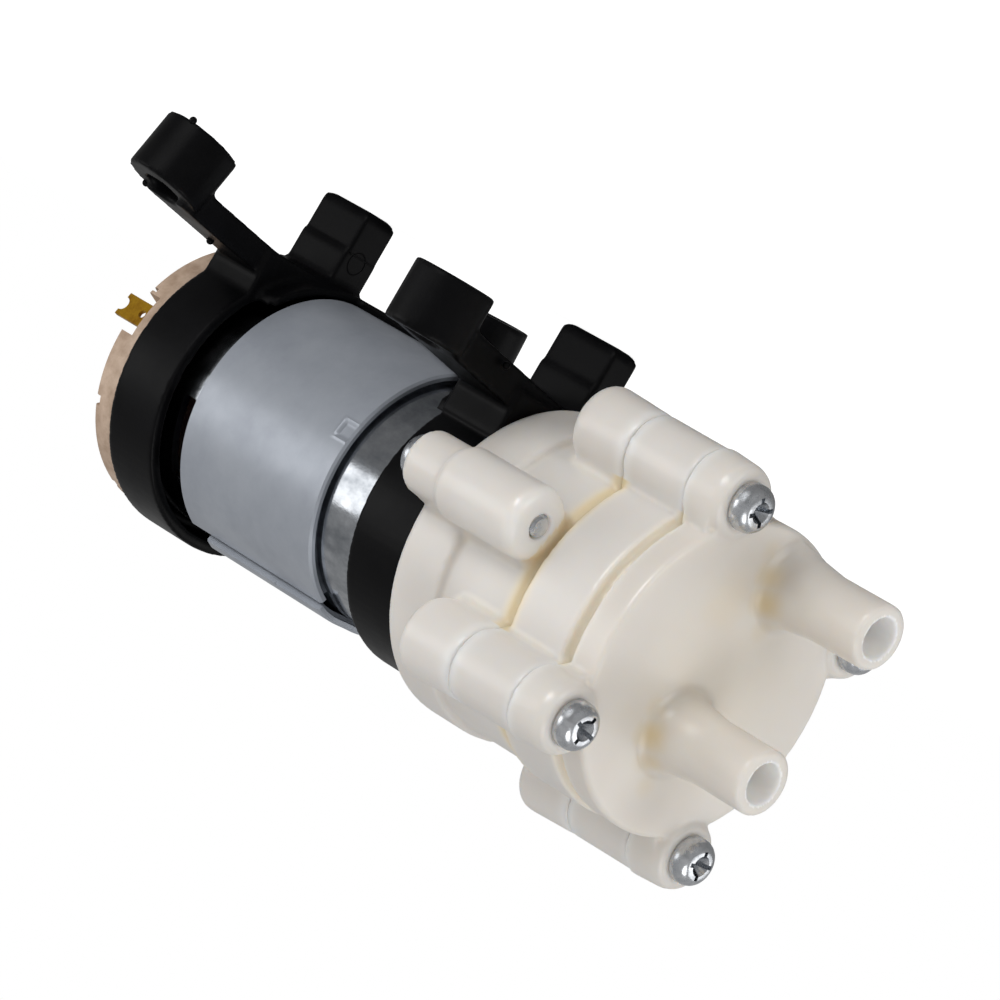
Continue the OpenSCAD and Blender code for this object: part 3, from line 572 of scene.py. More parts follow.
@dataclass
class PanScrews(Pattern):
    """Pan-head cross-recess screws with a rolled thread, all of one size."""

    head_r: float = 2.6
    head_h: float = 2.1
    side_h: float = 0.8
    core_r: float = 1.02
    thread_r: float = 1.28
    length: float = 20.0
    pitch: float = 0.9
    tip_len: float = 1.3
    tip_r: float = 0.36
    plain_len: ClassVar[float] = 1.2
    cross_share: ClassVar[float] = 0.62
    recess_share: ClassVar[float] = 0.7
    wing_share: ClassVar[float] = 0.3
    flute_share: ClassVar[float] = 0.74
    flute_tip_r: ClassVar[float] = 0.3
    ridge_r: ClassVar[float] = 0.16
    ridge_sunk: ClassVar[float] = 0.12
    crown_drop: ClassVar[float] = 0.44
    crown_degrees: ClassVar[tuple[int, ...]] = (15, 30, 44, 57, 68, 78, 86)

    def __post_init__(self) -> None:
        """Names the tree's inputs."""
        cross = self.head_r * self.cross_share
        thread = self.length - self.tip_len - self.plain_len
        self.inputs = {"Rows": 0, "Steps": 64, "Wing length": 2 * cross,
                       "Wing width": self.wing_share * cross,
                       "Recess depth": self.recess, "Recess floor": self.head_h - self.recess,
                       "Recess radius": self.flute_share * cross, "Thread turns": thread / self.pitch,
                       "Thread radius": self.thread_r - self.ridge_sunk, "Thread length": thread,
                       "Thread start": -self.length + self.tip_len}

    @property
    def recess(self) -> float:
        """Depth of the cross recess."""
        return self.recess_share * self.head_h

    def outline(self) -> list[tuple[float, float]]:
        """Gives the turned outline from the tip to the crown.

        Returns:
            Points (station, radius) in millimetres.
        """
        h, r, low = self.head_h, self.head_r, self.side_h
        points = [(-self.length, 0.0), (-self.length, self.core_r * self.tip_r),
                  (-self.length + self.tip_len, self.core_r), (-0.15, self.core_r), (0.0, self.core_r + 0.2),
                  (0.0, r - 0.2), (0.06, r - 0.06), (0.2, r), (low, r - 0.02)]
        crown = [(low + (h - low) * math.sin(a), r - 0.02 - r * self.crown_drop * (1 - math.cos(a)))
                 for a in map(math.radians, self.crown_degrees)]
        return points + crown + [(h, crown[-1][1] * 0.7), (h + 0.01, 0.0)]

    def seed(self, spots: list[tuple[Vector, float, Facing]]) -> Mesh:
        """Writes the outline and the screws' seats as one cloud of points.

        Args:
            spots: Seat centre, turn of the recess in degrees, and which way the head looks.

        Returns:
            The seed mesh with the attributes profile, turn and facing.
        """
        outline = self.outline()
        self.inputs["Rows"] = len(outline)
        mesh = bpy.data.meshes.new(self.name)
        mesh.from_pydata([(x, r, 0.0) for x, r in outline] + [tuple(c) for c, _, _ in spots], [], [])
        for title, kind, values in (
            ("profile", "BOOLEAN", [True] * len(outline) + [False] * len(spots)),
            ("turn", "FLOAT", [0.0] * len(outline) + [math.radians(t) for _, t, _ in spots]),
            ("facing", "FLOAT", [0.0] * len(outline) + [f.value for _, _, f in spots]),
        ):
            mesh.attributes.new(title, kind, "POINT").data.foreach_set("value", values)
        return mesh

    def grow(self, tree: NodeTree, seed: NodeSocket, value: dict[str, NodeSocket]) -> NodeSocket:
        """Turns the outline, cuts the recess, winds the thread and sets one screw on each seat.

        Args:
            tree: The tree to fill.
            seed: The seed's geometry.
            value: The tree's named inputs.

        Returns:
            The screws as instances.
        """
        marks = {title: add_node(tree, "GeometryNodeInputNamedAttribute", {"Name": title}, data_type=kind)
                 for title, kind in (("profile", "BOOLEAN"), ("turn", "FLOAT"), ("facing", "FLOAT"))}
        parted = add_node(tree, "GeometryNodeSeparateGeometry",
                          {"Geometry": seed, "Selection": marks["profile"]}, domain="POINT")
        rings = add_node(tree, "ShaderNodeMath", {0: value["Steps"], 1: 1.0}, operation="ADD")
        sheet = add_node(tree, "GeometryNodeMeshGrid",
                         {"Size X": 1.0, "Size Y": 1.0, "Vertices X": value["Rows"], "Vertices Y": rings})
        place = add_node(tree, "GeometryNodeInputPosition")
        cell = add_node(tree, "ShaderNodeSeparateXYZ", {0: place})
        last = add_node(tree, "ShaderNodeMath", {0: value["Rows"], 1: 1.0}, operation="SUBTRACT")
        part = add_node(tree, "ShaderNodeMath", {0: cell, 1: 0.5}, operation="ADD")
        row = add_node(tree, "ShaderNodeMath", {0: part, 1: last}, operation="MULTIPLY")
        near = add_node(tree, "ShaderNodeMath", {0: row}, operation="ROUND")
        point = add_node(tree, "GeometryNodeSampleIndex",
                         {"Geometry": parted.outputs["Selection"], "Value": place, "Index": near},
                         data_type="FLOAT_VECTOR")
        at = add_node(tree, "ShaderNodeSeparateXYZ", {0: point})
        angle = add_node(tree, "ShaderNodeMath", {0: cell.outputs[1], 1: math.tau}, operation="MULTIPLY")
        waves = [add_node(tree, "ShaderNodeMath", {0: angle}, operation=kind)
                 for kind in ("COSINE", "SINE")]
        sides = [add_node(tree, "ShaderNodeMath", {0: wave, 1: at.outputs[1]},
                          operation="MULTIPLY") for wave in waves]
        turned = add_node(tree, "ShaderNodeCombineXYZ", {0: at, 1: sides[0], 2: sides[1]})
        lathe_form = add_node(tree, "GeometryNodeSetPosition", {"Geometry": sheet, "Position": turned})
        closed = add_node(tree, "GeometryNodeMergeByDistance", {"Distance": 0.0005, "Geometry": lathe_form})
        reach = add_node(tree, "ShaderNodeMath", {0: value["Recess depth"], 1: 2.0}, operation="MULTIPLY")
        middle = add_node(tree, "ShaderNodeMath", {0: value["Recess floor"], 1: value["Recess depth"]},
                          operation="ADD")
        centre = add_node(tree, "ShaderNodeCombineXYZ", {0: middle})
        cut = closed
        for sizes in (("Wing length", "Wing width"), ("Wing width", "Wing length")):
            box = add_node(tree, "ShaderNodeCombineXYZ", {0: reach, 1: value[sizes[0]], 2: value[sizes[1]]})
            wing = add_node(tree, "GeometryNodeMeshCube", {"Size": box})
            moved = add_node(tree, "GeometryNodeTransform", {"Geometry": wing, "Translation": centre})
            cut = add_node(tree, "GeometryNodeMeshBoolean", {"Mesh 1": cut, "Mesh 2": moved},
                           operation="DIFFERENCE", solver="EXACT")
        flute = add_node(tree, "GeometryNodeMeshCone",
                         {"Vertices": 16, "Radius Bottom": self.flute_tip_r, "Depth": value["Recess depth"],
                          "Radius Top": value["Recess radius"]})
        floor = add_node(tree, "ShaderNodeCombineXYZ", {0: value["Recess floor"]})
        laid = add_node(tree, "GeometryNodeTransform",
                        {"Rotation": (0.0, math.pi / 2, 0.0), "Scale": (1.0, 1.0, 1.05), "Geometry": flute,
                         "Translation": floor})
        cut = add_node(tree, "GeometryNodeMeshBoolean", {"Mesh 1": cut, "Mesh 2": laid},
                       operation="DIFFERENCE", solver="EXACT")
        helix = add_node(tree, "GeometryNodeCurveSpiral",
                         {"Resolution": 14, "Rotations": value["Thread turns"],
                          "Start Radius": value["Thread radius"], "End Radius": value["Thread radius"],
                          "Height": value["Thread length"]})
        ridge = add_node(tree, "GeometryNodeCurvePrimitiveCircle", {"Resolution": 4, "Radius": self.ridge_r})
        wound = add_node(tree, "GeometryNodeCurveToMesh",
                         {"Fill Caps": True, "Curve": helix, "Profile Curve": ridge})
        begin = add_node(tree, "ShaderNodeCombineXYZ", {0: value["Thread start"]})
        thread = add_node(tree, "GeometryNodeTransform",
                          {"Rotation": (0.0, math.pi / 2, 0.0), "Geometry": wound, "Translation": begin})
        whole = add_node(tree, "GeometryNodeJoinGeometry", {0: cut})
        tree.links.new(thread.outputs[0], whole.inputs[0])
        spin = add_node(tree, "ShaderNodeCombineXYZ", {0: marks["turn"], 2: marks["facing"]})
        placed = add_node(tree, "GeometryNodeInstanceOnPoints",
                          {"Points": parted.outputs["Inverted"], "Instance": whole, "Rotation": spin})
        return placed.outputs[0]


@dataclass
class PoleWindings(Pattern):
    """Wire coils round the teeth of the armature, layer on layer."""

    poles: int = 5
    core_back: float = -65.55
    core_len: float = 18.0
    wire_r: float = 0.19
    corner_r: float = 0.5
    first_r: float = 4.6
    pitch: float = 0.4
    loops: int = 10
    thin_loops: int = 3
    tooth_half: float = 2.0
    first_out: float = 0.28
    first_rise: float = 0.35
    least_side: float = 0.3

    def __post_init__(self) -> None:
        """Names the tree's inputs."""
        self.inputs = {"Core length": self.core_len, "Wire radius": self.wire_r, "Corner": self.corner_r}

    def seed(self) -> Mesh:
        """Writes one point for each wire loop.

        Returns:
            The seed mesh with the attributes angle, half_width and rise.
        """
        spots: list[tuple[float, float, float]] = []
        angles: list[float] = []
        widths: list[float] = []
        rises: list[float] = []
        middle = self.core_back + self.core_len / 2
        tooth = math.pi / self.poles
        for pole in range(self.poles):
            angle = 2 * tooth * (pole + 0.5)
            for step in range(self.loops):
                radius = self.first_r + self.pitch * step
                side = radius * math.tan(tooth) - self.tooth_half / math.cos(tooth)
                for layer in range(2 if step < self.thin_loops else 3):
                    spots.append((middle, radius * math.cos(angle), radius * math.sin(angle)))
                    angles.append(angle)
                    widths.append(max(side, self.least_side) + self.first_out + self.pitch * layer)
                    rises.append(self.first_rise + self.pitch * layer)
        mesh = bpy.data.meshes.new(self.name)
        mesh.from_pydata(spots, [], [])
        for title, values in (("angle", angles), ("half_width", widths), ("rise", rises)):
            mesh.attributes.new(title, "FLOAT", "POINT").data.foreach_set("value", values)
        return mesh

    def grow(self, tree: NodeTree, seed: NodeSocket, value: dict[str, NodeSocket]) -> NodeSocket:
        """Lays a rectangular loop at each point, rounds its corners and gives it the wire's thickness.

        Args:
            tree: The tree to fill.
            seed: The seed's geometry.
            value: The tree's named inputs.

        Returns:
            The wires.
        """
        marks = {title: add_node(tree, "GeometryNodeInputNamedAttribute", {"Name": title},
                                 data_type="FLOAT")
                 for title in ("angle", "half_width", "rise")}
        loop = add_node(tree, "GeometryNodeCurvePrimitiveQuadrilateral", {"Width": 1.0, "Height": 1.0})
        ends = add_node(tree, "ShaderNodeMath", {0: marks["rise"], 1: 2.0}, operation="MULTIPLY")
        long = add_node(tree, "ShaderNodeMath", {0: ends, 1: value["Core length"]}, operation="ADD")
        wide = add_node(tree, "ShaderNodeMath", {0: marks["half_width"], 1: 2.0}, operation="MULTIPLY")
        size = add_node(tree, "ShaderNodeCombineXYZ", {0: long, 1: wide, 2: 1.0})
        flat = add_node(tree, "ShaderNodeMath", {0: marks["angle"], 1: math.pi / 2}, operation="SUBTRACT")
        spin = add_node(tree, "ShaderNodeCombineXYZ", {0: flat})
        laid = add_node(tree, "GeometryNodeInstanceOnPoints",
                        {"Points": seed, "Instance": loop, "Rotation": spin, "Scale": size})
        real = add_node(tree, "GeometryNodeRealizeInstances", {0: laid})
        soft = add_node(tree, "GeometryNodeFilletCurve",
                        {"Count": 3, "Curve": real, "Radius": value["Corner"]}, mode="POLY")
        wire = add_node(tree, "GeometryNodeCurvePrimitiveCircle",
                        {"Resolution": 6, "Radius": value["Wire radius"]})
        drawn = add_node(tree, "GeometryNodeCurveToMesh", {"Curve": soft, "Profile Curve": wire})
        return drawn.outputs[0]


@dataclass
class Moulding:
    """A moulded piece: the solid's own shape with the soft edges that a mould leaves."""

    frame: dict[str, Any]
    node: str
    name: str
    finish: Finish
    slot: str
    voxel_mm: float = 0.3
    rounds: int = 3
    most_tris: ClassVar[int] = 190000
    tris_per_cell: ClassVar[float] = 2.4
    softness: ClassVar[float] = 0.5

    def build(self) -> Object:
        """Copies the solid and rounds its edges over, with cells as fine as the limit allows.

        Returns:
            The piece, riding its node's body and standing in for the node.
        """
        bm = merged_copy(self.frame, self.node)
        area = sum(face.calc_area() for face in bm.faces)
        cell = max(self.voxel_mm * MM, math.sqrt(self.tris_per_cell * area / self.most_tris))
        mesh = bpy.data.meshes.new(self.name)
        bm.to_mesh(mesh)
        bm.free()
        obj = add_object(self.name, mesh)
        cells = obj.modifiers.new("cells", "REMESH")
        cells.mode = "VOXEL"
        cells.voxel_size = cell
        soft = obj.modifiers.new("soft", "SMOOTH")
        soft.factor = self.softness
        soft.iterations = self.rounds
        evaluated(obj)
        obj.data.shade_smooth()
        self.dress(obj)
        return settle(obj, self.finish, self.slot, Body.HOUSING, self.node)

    def dress(self, obj: Object) -> None:
        """Gives the piece what its finish reads besides its place."""


@dataclass
class IvoryMoulding(Moulding):
    """A moulding of the head, with painted amber shade and painted glow where its surface is hollow, at its
    joints, at set spots and in its bores.
    """

    # strengths of the painted amber shade and the painted glow
    gain: ClassVar[float] = 5.0
    painted_glow_gain: ClassVar[float] = 15.0
    most_painted_amber: ClassVar[float] = 0.7
    flat: ClassVar[float] = 0.02
    painted_joint_glow: ClassVar[float] = 0.35
    ring_margin: ClassVar[float] = 0.5
    spread: ClassVar[int] = 14
    # spots, joint bands and bores where painted amber shade and painted glow are laid
    spots: list[tuple[Vector, float, float]] = field(default_factory=list)
    painted_joint_bands: list[tuple[float, float, float]] = field(default_factory=list)
    painted_glow_bores: list[tuple[Vector, float]] = field(default_factory=list)

    def dress(self, obj: Object) -> None:
        """Writes how hollow each point is, widened a little, as painted amber shade and as painted glow for
        the light held in it.
        """
        mesh = obj.data
        count = len(mesh.vertices)
        co, no = np.empty((count, 3)), np.empty((count, 3))
        edges = np.empty((len(mesh.edges), 2), dtype=np.int64)
        mesh.vertices.foreach_get("co", co.ravel())
        mesh.vertices.foreach_get("normal", no.ravel())
        mesh.edges.foreach_get("vertices", edges.ravel())
        near = np.bincount(edges.ravel(), minlength=count).clip(1)

        def mean(values: np.ndarray) -> np.ndarray:
            """Averages a value over each point's neighbours."""
            out = np.zeros_like(values)
            np.add.at(out, edges[:, 0], values[edges[:, 1]])
            np.add.at(out, edges[:, 1], values[edges[:, 0]])
            return out / (near if values.ndim == 1 else near[:, None])

        hollow = np.einsum("ij,ij->i", mean(co) - co, no) / (self.voxel_mm * MM)
        for _ in range(self.spread):
            hollow = 0.5 * hollow + 0.5 * mean(hollow)
        # painted amber shade and painted glow grow with how hollow a point is
        painted_amber = np.clip((hollow - self.flat) * self.gain, 0, self.most_painted_amber)
        painted_glow = np.clip((hollow - self.flat) * self.painted_glow_gain, 0, 1)
        place = LAYOUT.place()
        # painted amber shade round each spot
        for centre, reach, strength in self.spots:
            gap = np.linalg.norm(co - np.array(place @ centre), axis=1) / (reach * MM)
            painted_amber = np.maximum(painted_amber, strength * np.exp(-gap * gap))
        radius = np.hypot(co[:, 1], co[:, 2] - LAYOUT.axis_height * MM)
        on_ring = radius < (LAYOUT.head_r + self.ring_margin) * MM
        # at each joint, painted amber shade on the ring and painted glow, fainter off the ring
        for station, reach, strength in self.painted_joint_bands:
            gap = (co[:, 0] / MM + LAYOUT.middle - station) / reach
            near_joint = np.exp(-gap * gap)
            painted_amber = np.maximum(painted_amber, strength * near_joint * on_ring)
            painted_glow = np.maximum(painted_glow, near_joint * np.where(on_ring, 1.0, self.painted_joint_glow))
        # painted glow fills each nozzle bore
        for centre, bore_r in self.painted_glow_bores:
            gap = np.linalg.norm((co - np.array(place @ centre))[:, 1:], axis=1) / MM
            painted_glow = np.maximum(painted_glow, (gap < bore_r) * 1.0)
        for name, values in (("painted_amber", painted_amber), ("painted_glow", painted_glow)):
            mesh.attributes.new(name, "FLOAT", "POINT").data.foreach_set("value", values.astype(np.float32))


@dataclass
class Head:
    """The ivory head: base, diaphragm holder and front cover.

    A joint is a station with the reach of its painted amber shade and painted glow and the strength of that
    amber; a painted spot is a place with the same two.
    """

    frame: dict[str, Any]
    # radius of the painted glow in each nozzle bore
    bore_r: float = 2.45
    # joint bands of painted amber shade and painted glow
    rear_joint: tuple[float, float, float] = (LAYOUT.holder_back, 0.8, 0.85)
    painted_rear_glow: tuple[float, float, float] = (LAYOUT.holder_back - 0.9, 0.85, 0.75)
    front_joint: tuple[float, float, float] = (LAYOUT.cover_back - 0.3, 0.7, 0.5)
    # spots of painted amber shade beside the nozzle roots, and one faint wash over the whole cover
    painted_amber_spots: tuple[tuple[tuple[float, float, float], float, float], ...] = (
        ((-8.0, 0.0, 0.0), 14.0, 0.32), ((0.5, 2.5, -14.0), 1.6, 0.3), ((0.7, 1.5, -11.8), 1.7, 0.55),
        ((0.9, 0.2, -9.5), 1.9, 0.75), ((0.6, -2.0, -6.8), 2.0, 0.35), ((0.2, 4.6, -7.0), 4.5, 0.3),
        ((0.2, 3.6, 1.0), 4.0, 0.26), ((0.4, 6.4, 5.0), 1.8, 0.35), ((0.8, 5.2, 7.5), 1.8, 0.75),
        ((0.7, 3.4, 9.8), 1.7, 0.5), ((0.5, 1.1, 12.2), 1.7, 0.3))

    def build(self) -> list[Object]:
        """Builds the three mouldings.

        Returns:
            The pieces.
        """
        # bore centres for painted glow, and spots of painted amber shade
        painted_glow_bores = [(LAYOUT.polar(LAYOUT.nozzle_tip, LAYOUT.head_turn + turn, offset), self.bore_r)
                 for turn, offset in ((0, LAYOUT.outlet_offset), (180, LAYOUT.inlet_offset))]
        painted_amber_spots = [(Vector(centre), reach, strength) for centre, reach, strength in self.painted_amber_spots]
        pieces = []
        for node, name, look in (
            ("pump_base", "base_moulding",
             {"voxel_mm": 0.27, "rounds": 8, "painted_joint_bands": [self.rear_joint, self.painted_rear_glow]}),
            ("diaphragm_holder", "holder_moulding",
             {"voxel_mm": 0.25, "rounds": 8, "painted_joint_bands": [self.rear_joint, self.front_joint]}),
            ("front_cover", "cover_moulding",
             {"voxel_mm": 0.2, "rounds": 4, "painted_joint_bands": [self.front_joint], "spots": painted_amber_spots, "painted_glow_bores": painted_glow_bores}),
        ):
            pieces.append(IvoryMoulding(self.frame, node, name, NYLON, "ivory_plastic", **look).build())
        return pieces


@dataclass
class Bracket:
    """The black bracket with its rings, bridge, arms, bosses and tabs."""

    frame: dict[str, Any]
    line_r: float = 0.13
    nub_r: float = 0.42
    parting: tuple[tuple[tuple[float, float, float], ...], ...] = (
        ((-77.7, 2.7, -19.6), (-70.6, 2.7, -19.6)), ((-70.38, 2.4, -19.6), (-70.38, -1.9, -19.6)),
        ((-38.3, 3.0, -19.25), (-30.3, 3.0, -19.25)), ((-30.18, 2.7, -19.25), (-30.18, -0.8, -19.25)),
    )
    nubs: tuple[tuple[float, float, float], ...] = (
        (-72.7, 30.4, -22.9), (-77.9, 26.65, -14.93), (-74.9, 17.1, -13.1), (-30.15, 16.7, -17.0))
    ejectors: tuple[tuple[float, float, float, float], ...] = (
        (-70.35, 0.6, -18.9, 1.25), (-30.15, 1.2, -18.0, 1.2))
    ejector_half: float = 0.09
    ejector_rise: float = 0.07

    def marks(self) -> Object:
        """Lays the parting lines, the gate nubs and the ejector rings on the bracket's faces.

        Returns:
            The marks as one piece.
        """
        bm = bmesh.new()
        for line in self.parting:
            one, two = (Vector(p) for p in line)
            spin = (two - one).to_track_quat("Z", "Y").to_matrix().to_4x4()
            bmesh.ops.create_cone(bm, cap_ends=True, segments=10, radius1=self.line_r, radius2=self.line_r,
                                  depth=(two - one).length,
                                  matrix=Matrix.Translation((one + two) / 2) @ spin)
        for nub in self.nubs:
            bmesh.ops.create_uvsphere(bm, u_segments=20, v_segments=12, radius=self.nub_r,
                                      matrix=Matrix.Translation(nub))
        half = self.ejector_half
        for x, y, z, r in self.ejectors:
            lathe(bm, [(x - 0.1, r + half), (x + 0.03, r + half), (x + self.ejector_rise, r),
                       (x + 0.03, r - half), (x - 0.1, r - half)], 40, centre=(y, z))
        return settle(from_bmesh("bracket_marks", bm), BLACK, "black_plastic", Body.HOUSING)

    def build(self) -> list[Object]:
        """Builds the bracket.

        Returns:
            The pieces.
        """
        return [Moulding(self.frame, "bracket", "bracket_moulding", BLACK, "black_plastic", voxel_mm=0.24,
                         rounds=2).build(), self.marks()]


@dataclass
class Fasteners:
    """All screws of the pump."""

    cover_turns: tuple[float, ...] = (12.0, 58.0, 31.0, 75.0)
    ear_turn: float = 20.0
    motor_turn: float = 40.0
    cover_seat: float = LAYOUT.boss_face + LAYOUT.seat_gap
    ear_seat: float = LAYOUT.base_back - 0.6 - LAYOUT.seat_gap
    motor_seat: float = LAYOUT.can_front + 2.5 + LAYOUT.seat_gap
    motor_circle: float = 8.0
    sharp_deg: float = 28.0

    def build(self) -> list[Object]:
        """Builds the cover screws, the ear screws and the two that hold the motor.

        Returns:
            The pieces.
        """
        turn = LAYOUT.head_turn
        cover = [(LAYOUT.polar(self.cover_seat, turn + 45 + 90 * k, LAYOUT.screw_circle), cross,
                  Facing.FRONT) for k, cross in enumerate(self.cover_turns)]
        ears = [(LAYOUT.polar(self.ear_seat, turn + side, LAYOUT.ear_circle), self.ear_turn, Facing.REAR)
                for side in (-90, 90)]
        motor = [(LAYOUT.polar(self.motor_seat, turn + side, self.motor_circle), self.motor_turn,
                  Facing.FRONT) for side in (0, 180)]
        out = []
        for name, spots, sizes in (
            ("cover_screw_set", cover, {}),
            ("ear_screw_set", ears, {"head_r": 2.5, "head_h": 1.9, "length": 17.5, "core_r": 1.2,
                                     "tip_len": 0.3, "tip_r": 0.8}),
            ("motor_screw_set", motor, {"head_r": 2.2, "head_h": 1.5, "side_h": 0.5, "length": 4.9,
                                        "core_r": 0.85, "thread_r": 1.1, "pitch": 0.6}),
        ):
            screws = PanScrews(name, SCREW_STEEL, **sizes)
            made = screws.build(screws.seed(spots), self.sharp_deg)
            out.append(settle(made, SCREW_STEEL, "zinc_screw", Body.HOUSING, name.replace("_set", "s")))
        return out


@dataclass
class Rotor:
    """What turns inside the can and needs more than its solid."""

    sharp_deg: float = 60.0

    def build(self) -> list[Object]:
        """Builds the wire coils.

        Returns:
            The pieces.
        """
        coils = PoleWindings("wire_coils", COPPER_WIRE)
        made = coils.build(coils.seed(), self.sharp_deg)
        return [settle(made, COPPER_WIRE, "copper_wire", Body.ROTOR, "windings")]


@dataclass
class FluxRing:
    """A steel strip rolled round the can, with its seam, its sprung end and its coined square."""

    seam: float = 67.0
    gap_deg: float = 1.3
    rows: int = 480
    columns: int = 90
    chamfer: float = 0.25
    spring: float = 0.68
    spring_deg: float = 22.0
    skew: float = 3.1
    mark: tuple[float, float, float, float] = (-46.45, -12.2, 1.0, 0.3)
    lip_w: float = 0.3
    lip_h: float = 0.07
    tick_at: float = -52.4
    tick_half: float = 0.15
    tick_deep: float = 0.25
    tick_deg: float = 0.8
    sharp_deg: float = 30.0

    def lift(self, along: float) -> float:
        """Gives how far the strip's end stands off the can.

        Args:
            along: Degrees left to the end of the strip.

        Returns:
            The lift in millimetres.
        """
        part = max(0.0, 1 - along / self.spring_deg)
        return self.spring * part * part * (3 - 2 * part)

    def sunk(self, x: float, angle: float) -> float:
        """Gives how deep the coined square lies at a point of the strip.

        Args:
            x: Station along the axis.
            angle: Degrees from +Y towards +Z.

        Returns:
            The depth in millimetres; a raised lip counts as less than nothing.
        """
        mark_x, mark_turn, half, deep = self.mark
        off = max(abs(x - mark_x), abs(math.radians(angle - mark_turn)) * LAYOUT.flux_r) - half
        if off > self.lip_w:
            return 0.0
        if off > 0.0:
            return -self.lip_h * math.sin(math.pi * off / self.lip_w)
        return deep * min(1.0, -off / self.lip_w)

    def build(self) -> Object:
        """Rolls the strip row by row.

        Returns:
            The ring, standing in for its node.
        """
        front, r = LAYOUT.flux_front, LAYOUT.flux_r
        inner = LAYOUT.can_r + LAYOUT.seat_gap
        bm = bmesh.new()
        strip = []
        turn = FULL_TURN - self.gap_deg
        for i in range(self.rows + 1):
            done = turn * i / self.rows
            angle = self.seam - done
            left = turn - done
            up = self.lift(left)
            back = LAYOUT.flux_back + self.skew * (up / self.spring)
            a = math.radians(angle)
            edge = r - self.chamfer + up
            outline = [(back, inner + up), (back, edge)]
            for j in range(self.columns + 1):
                x = back + self.chamfer + (front - back - 2 * self.chamfer) * j / self.columns
                at_tick = left < self.tick_deg and abs(x - self.tick_at) < self.tick_half
                tick = self.tick_deep if at_tick else 0.0
                outline.append((x, r + up - tick - self.sunk(x, angle)))
            outline += [(front, edge), (front, inner + up + 0.45), (front - 0.7, inner + up + 0.4),
                        (front - 0.9, inner + up)]
            strip.append([bm.verts.new((x, q * math.cos(a), q * math.sin(a))) for x, q in outline])
        skin(bm, strip)
        ring = from_bmesh("flux_strip", bm, self.sharp_deg)
        return settle(ring, FLUX_STEEL, "flux_steel", Body.HOUSING, "flux_ring")


def cut(obj: Object, tools: list[Object]) -> None:
    """Takes closed shapes out of a piece and deletes them.

    Args:
        obj: The piece.
        tools: The shapes to take out.
    """
    for tool in tools:
        hole = obj.modifiers.new("cut", "BOOLEAN")
        hole.operation = "DIFFERENCE"
        hole.object = tool
    evaluated(obj)
    for tool in tools:
        bpy.data.objects.remove(tool)


@dataclass
class EndCap:
    """The moulded end cap: a rimmed disc with a recess at each terminal and small notches between."""

    rim_r: float = 15.4
    rear: float = -81.55
    plug_r: float = 12.9
    hub_r: float = 5.0
    hub_out: float = 1.4
    bore_r: float = 3.02
    seat_deep: float = 0.45
    notches: tuple[tuple[float, float, float, float], ...] = (
        (-19.6, -0.9, 1.95, 9.9), (-22.6, -21.0, 0.8, 14.2), (27.4, 31.8, 0.75, 13.2),
        (70.0, 75.0, 0.75, 13.2))
    sharp_deg: float = 30.0

    def build(self) -> Object:
        """Turns the cap and cuts its notches, the same on both sides.

        Returns:
            The cap, standing in for its node.
        """
        rear, r, front = self.rear, self.rim_r, LAYOUT.can_rear
        plug, hub, bore, out = self.plug_r, self.hub_r, self.bore_r, rear - self.hub_out
        outline = [(rear, hub + 4.2), (rear, r - 1.6), (rear, r - 0.35), (rear + 0.1, r - 0.1),
                   (rear + 0.35, r), (front - 0.08, r), (front, r - 0.08), (front, plug),
                   (front + 2.6, plug), (front + 2.9, plug - 0.3), (front + 2.9, plug - 1.6),
                   (front + 0.4, plug - 1.8), (front + 0.4, bore + 0.9), (front + 0.4, bore),
                   (out + 0.4, bore), (out, bore + 0.4), (out, hub - 0.6), (out + 0.18, hub - 0.18),
                   (out + 0.6, hub), (rear + self.seat_deep, hub + 0.15), (rear + self.seat_deep, hub + 3.8)]
        bm = bmesh.new()
        lathe(bm, outline, 180)
        cap = from_bmesh("cap_moulding", bm)
        tools = []
        for side in (0, 180):
            for begin, end, deep, low in self.notches:
                wedge = bmesh.new()
                lathe(wedge, [(rear - 1, low), (rear - 1, r + 1), (rear + deep, r + 1), (rear + deep, low)],
                      8, start=side + begin, sweep=end - begin)
                tools.append(from_bmesh("notch_cutter", wedge))
        cut(cap, tools)
        cap.data.set_sharp_from_angle(angle=math.radians(self.sharp_deg))
        return settle(cap, CAP_PLASTIC, "cap_plastic", Body.HOUSING, "end_cap")


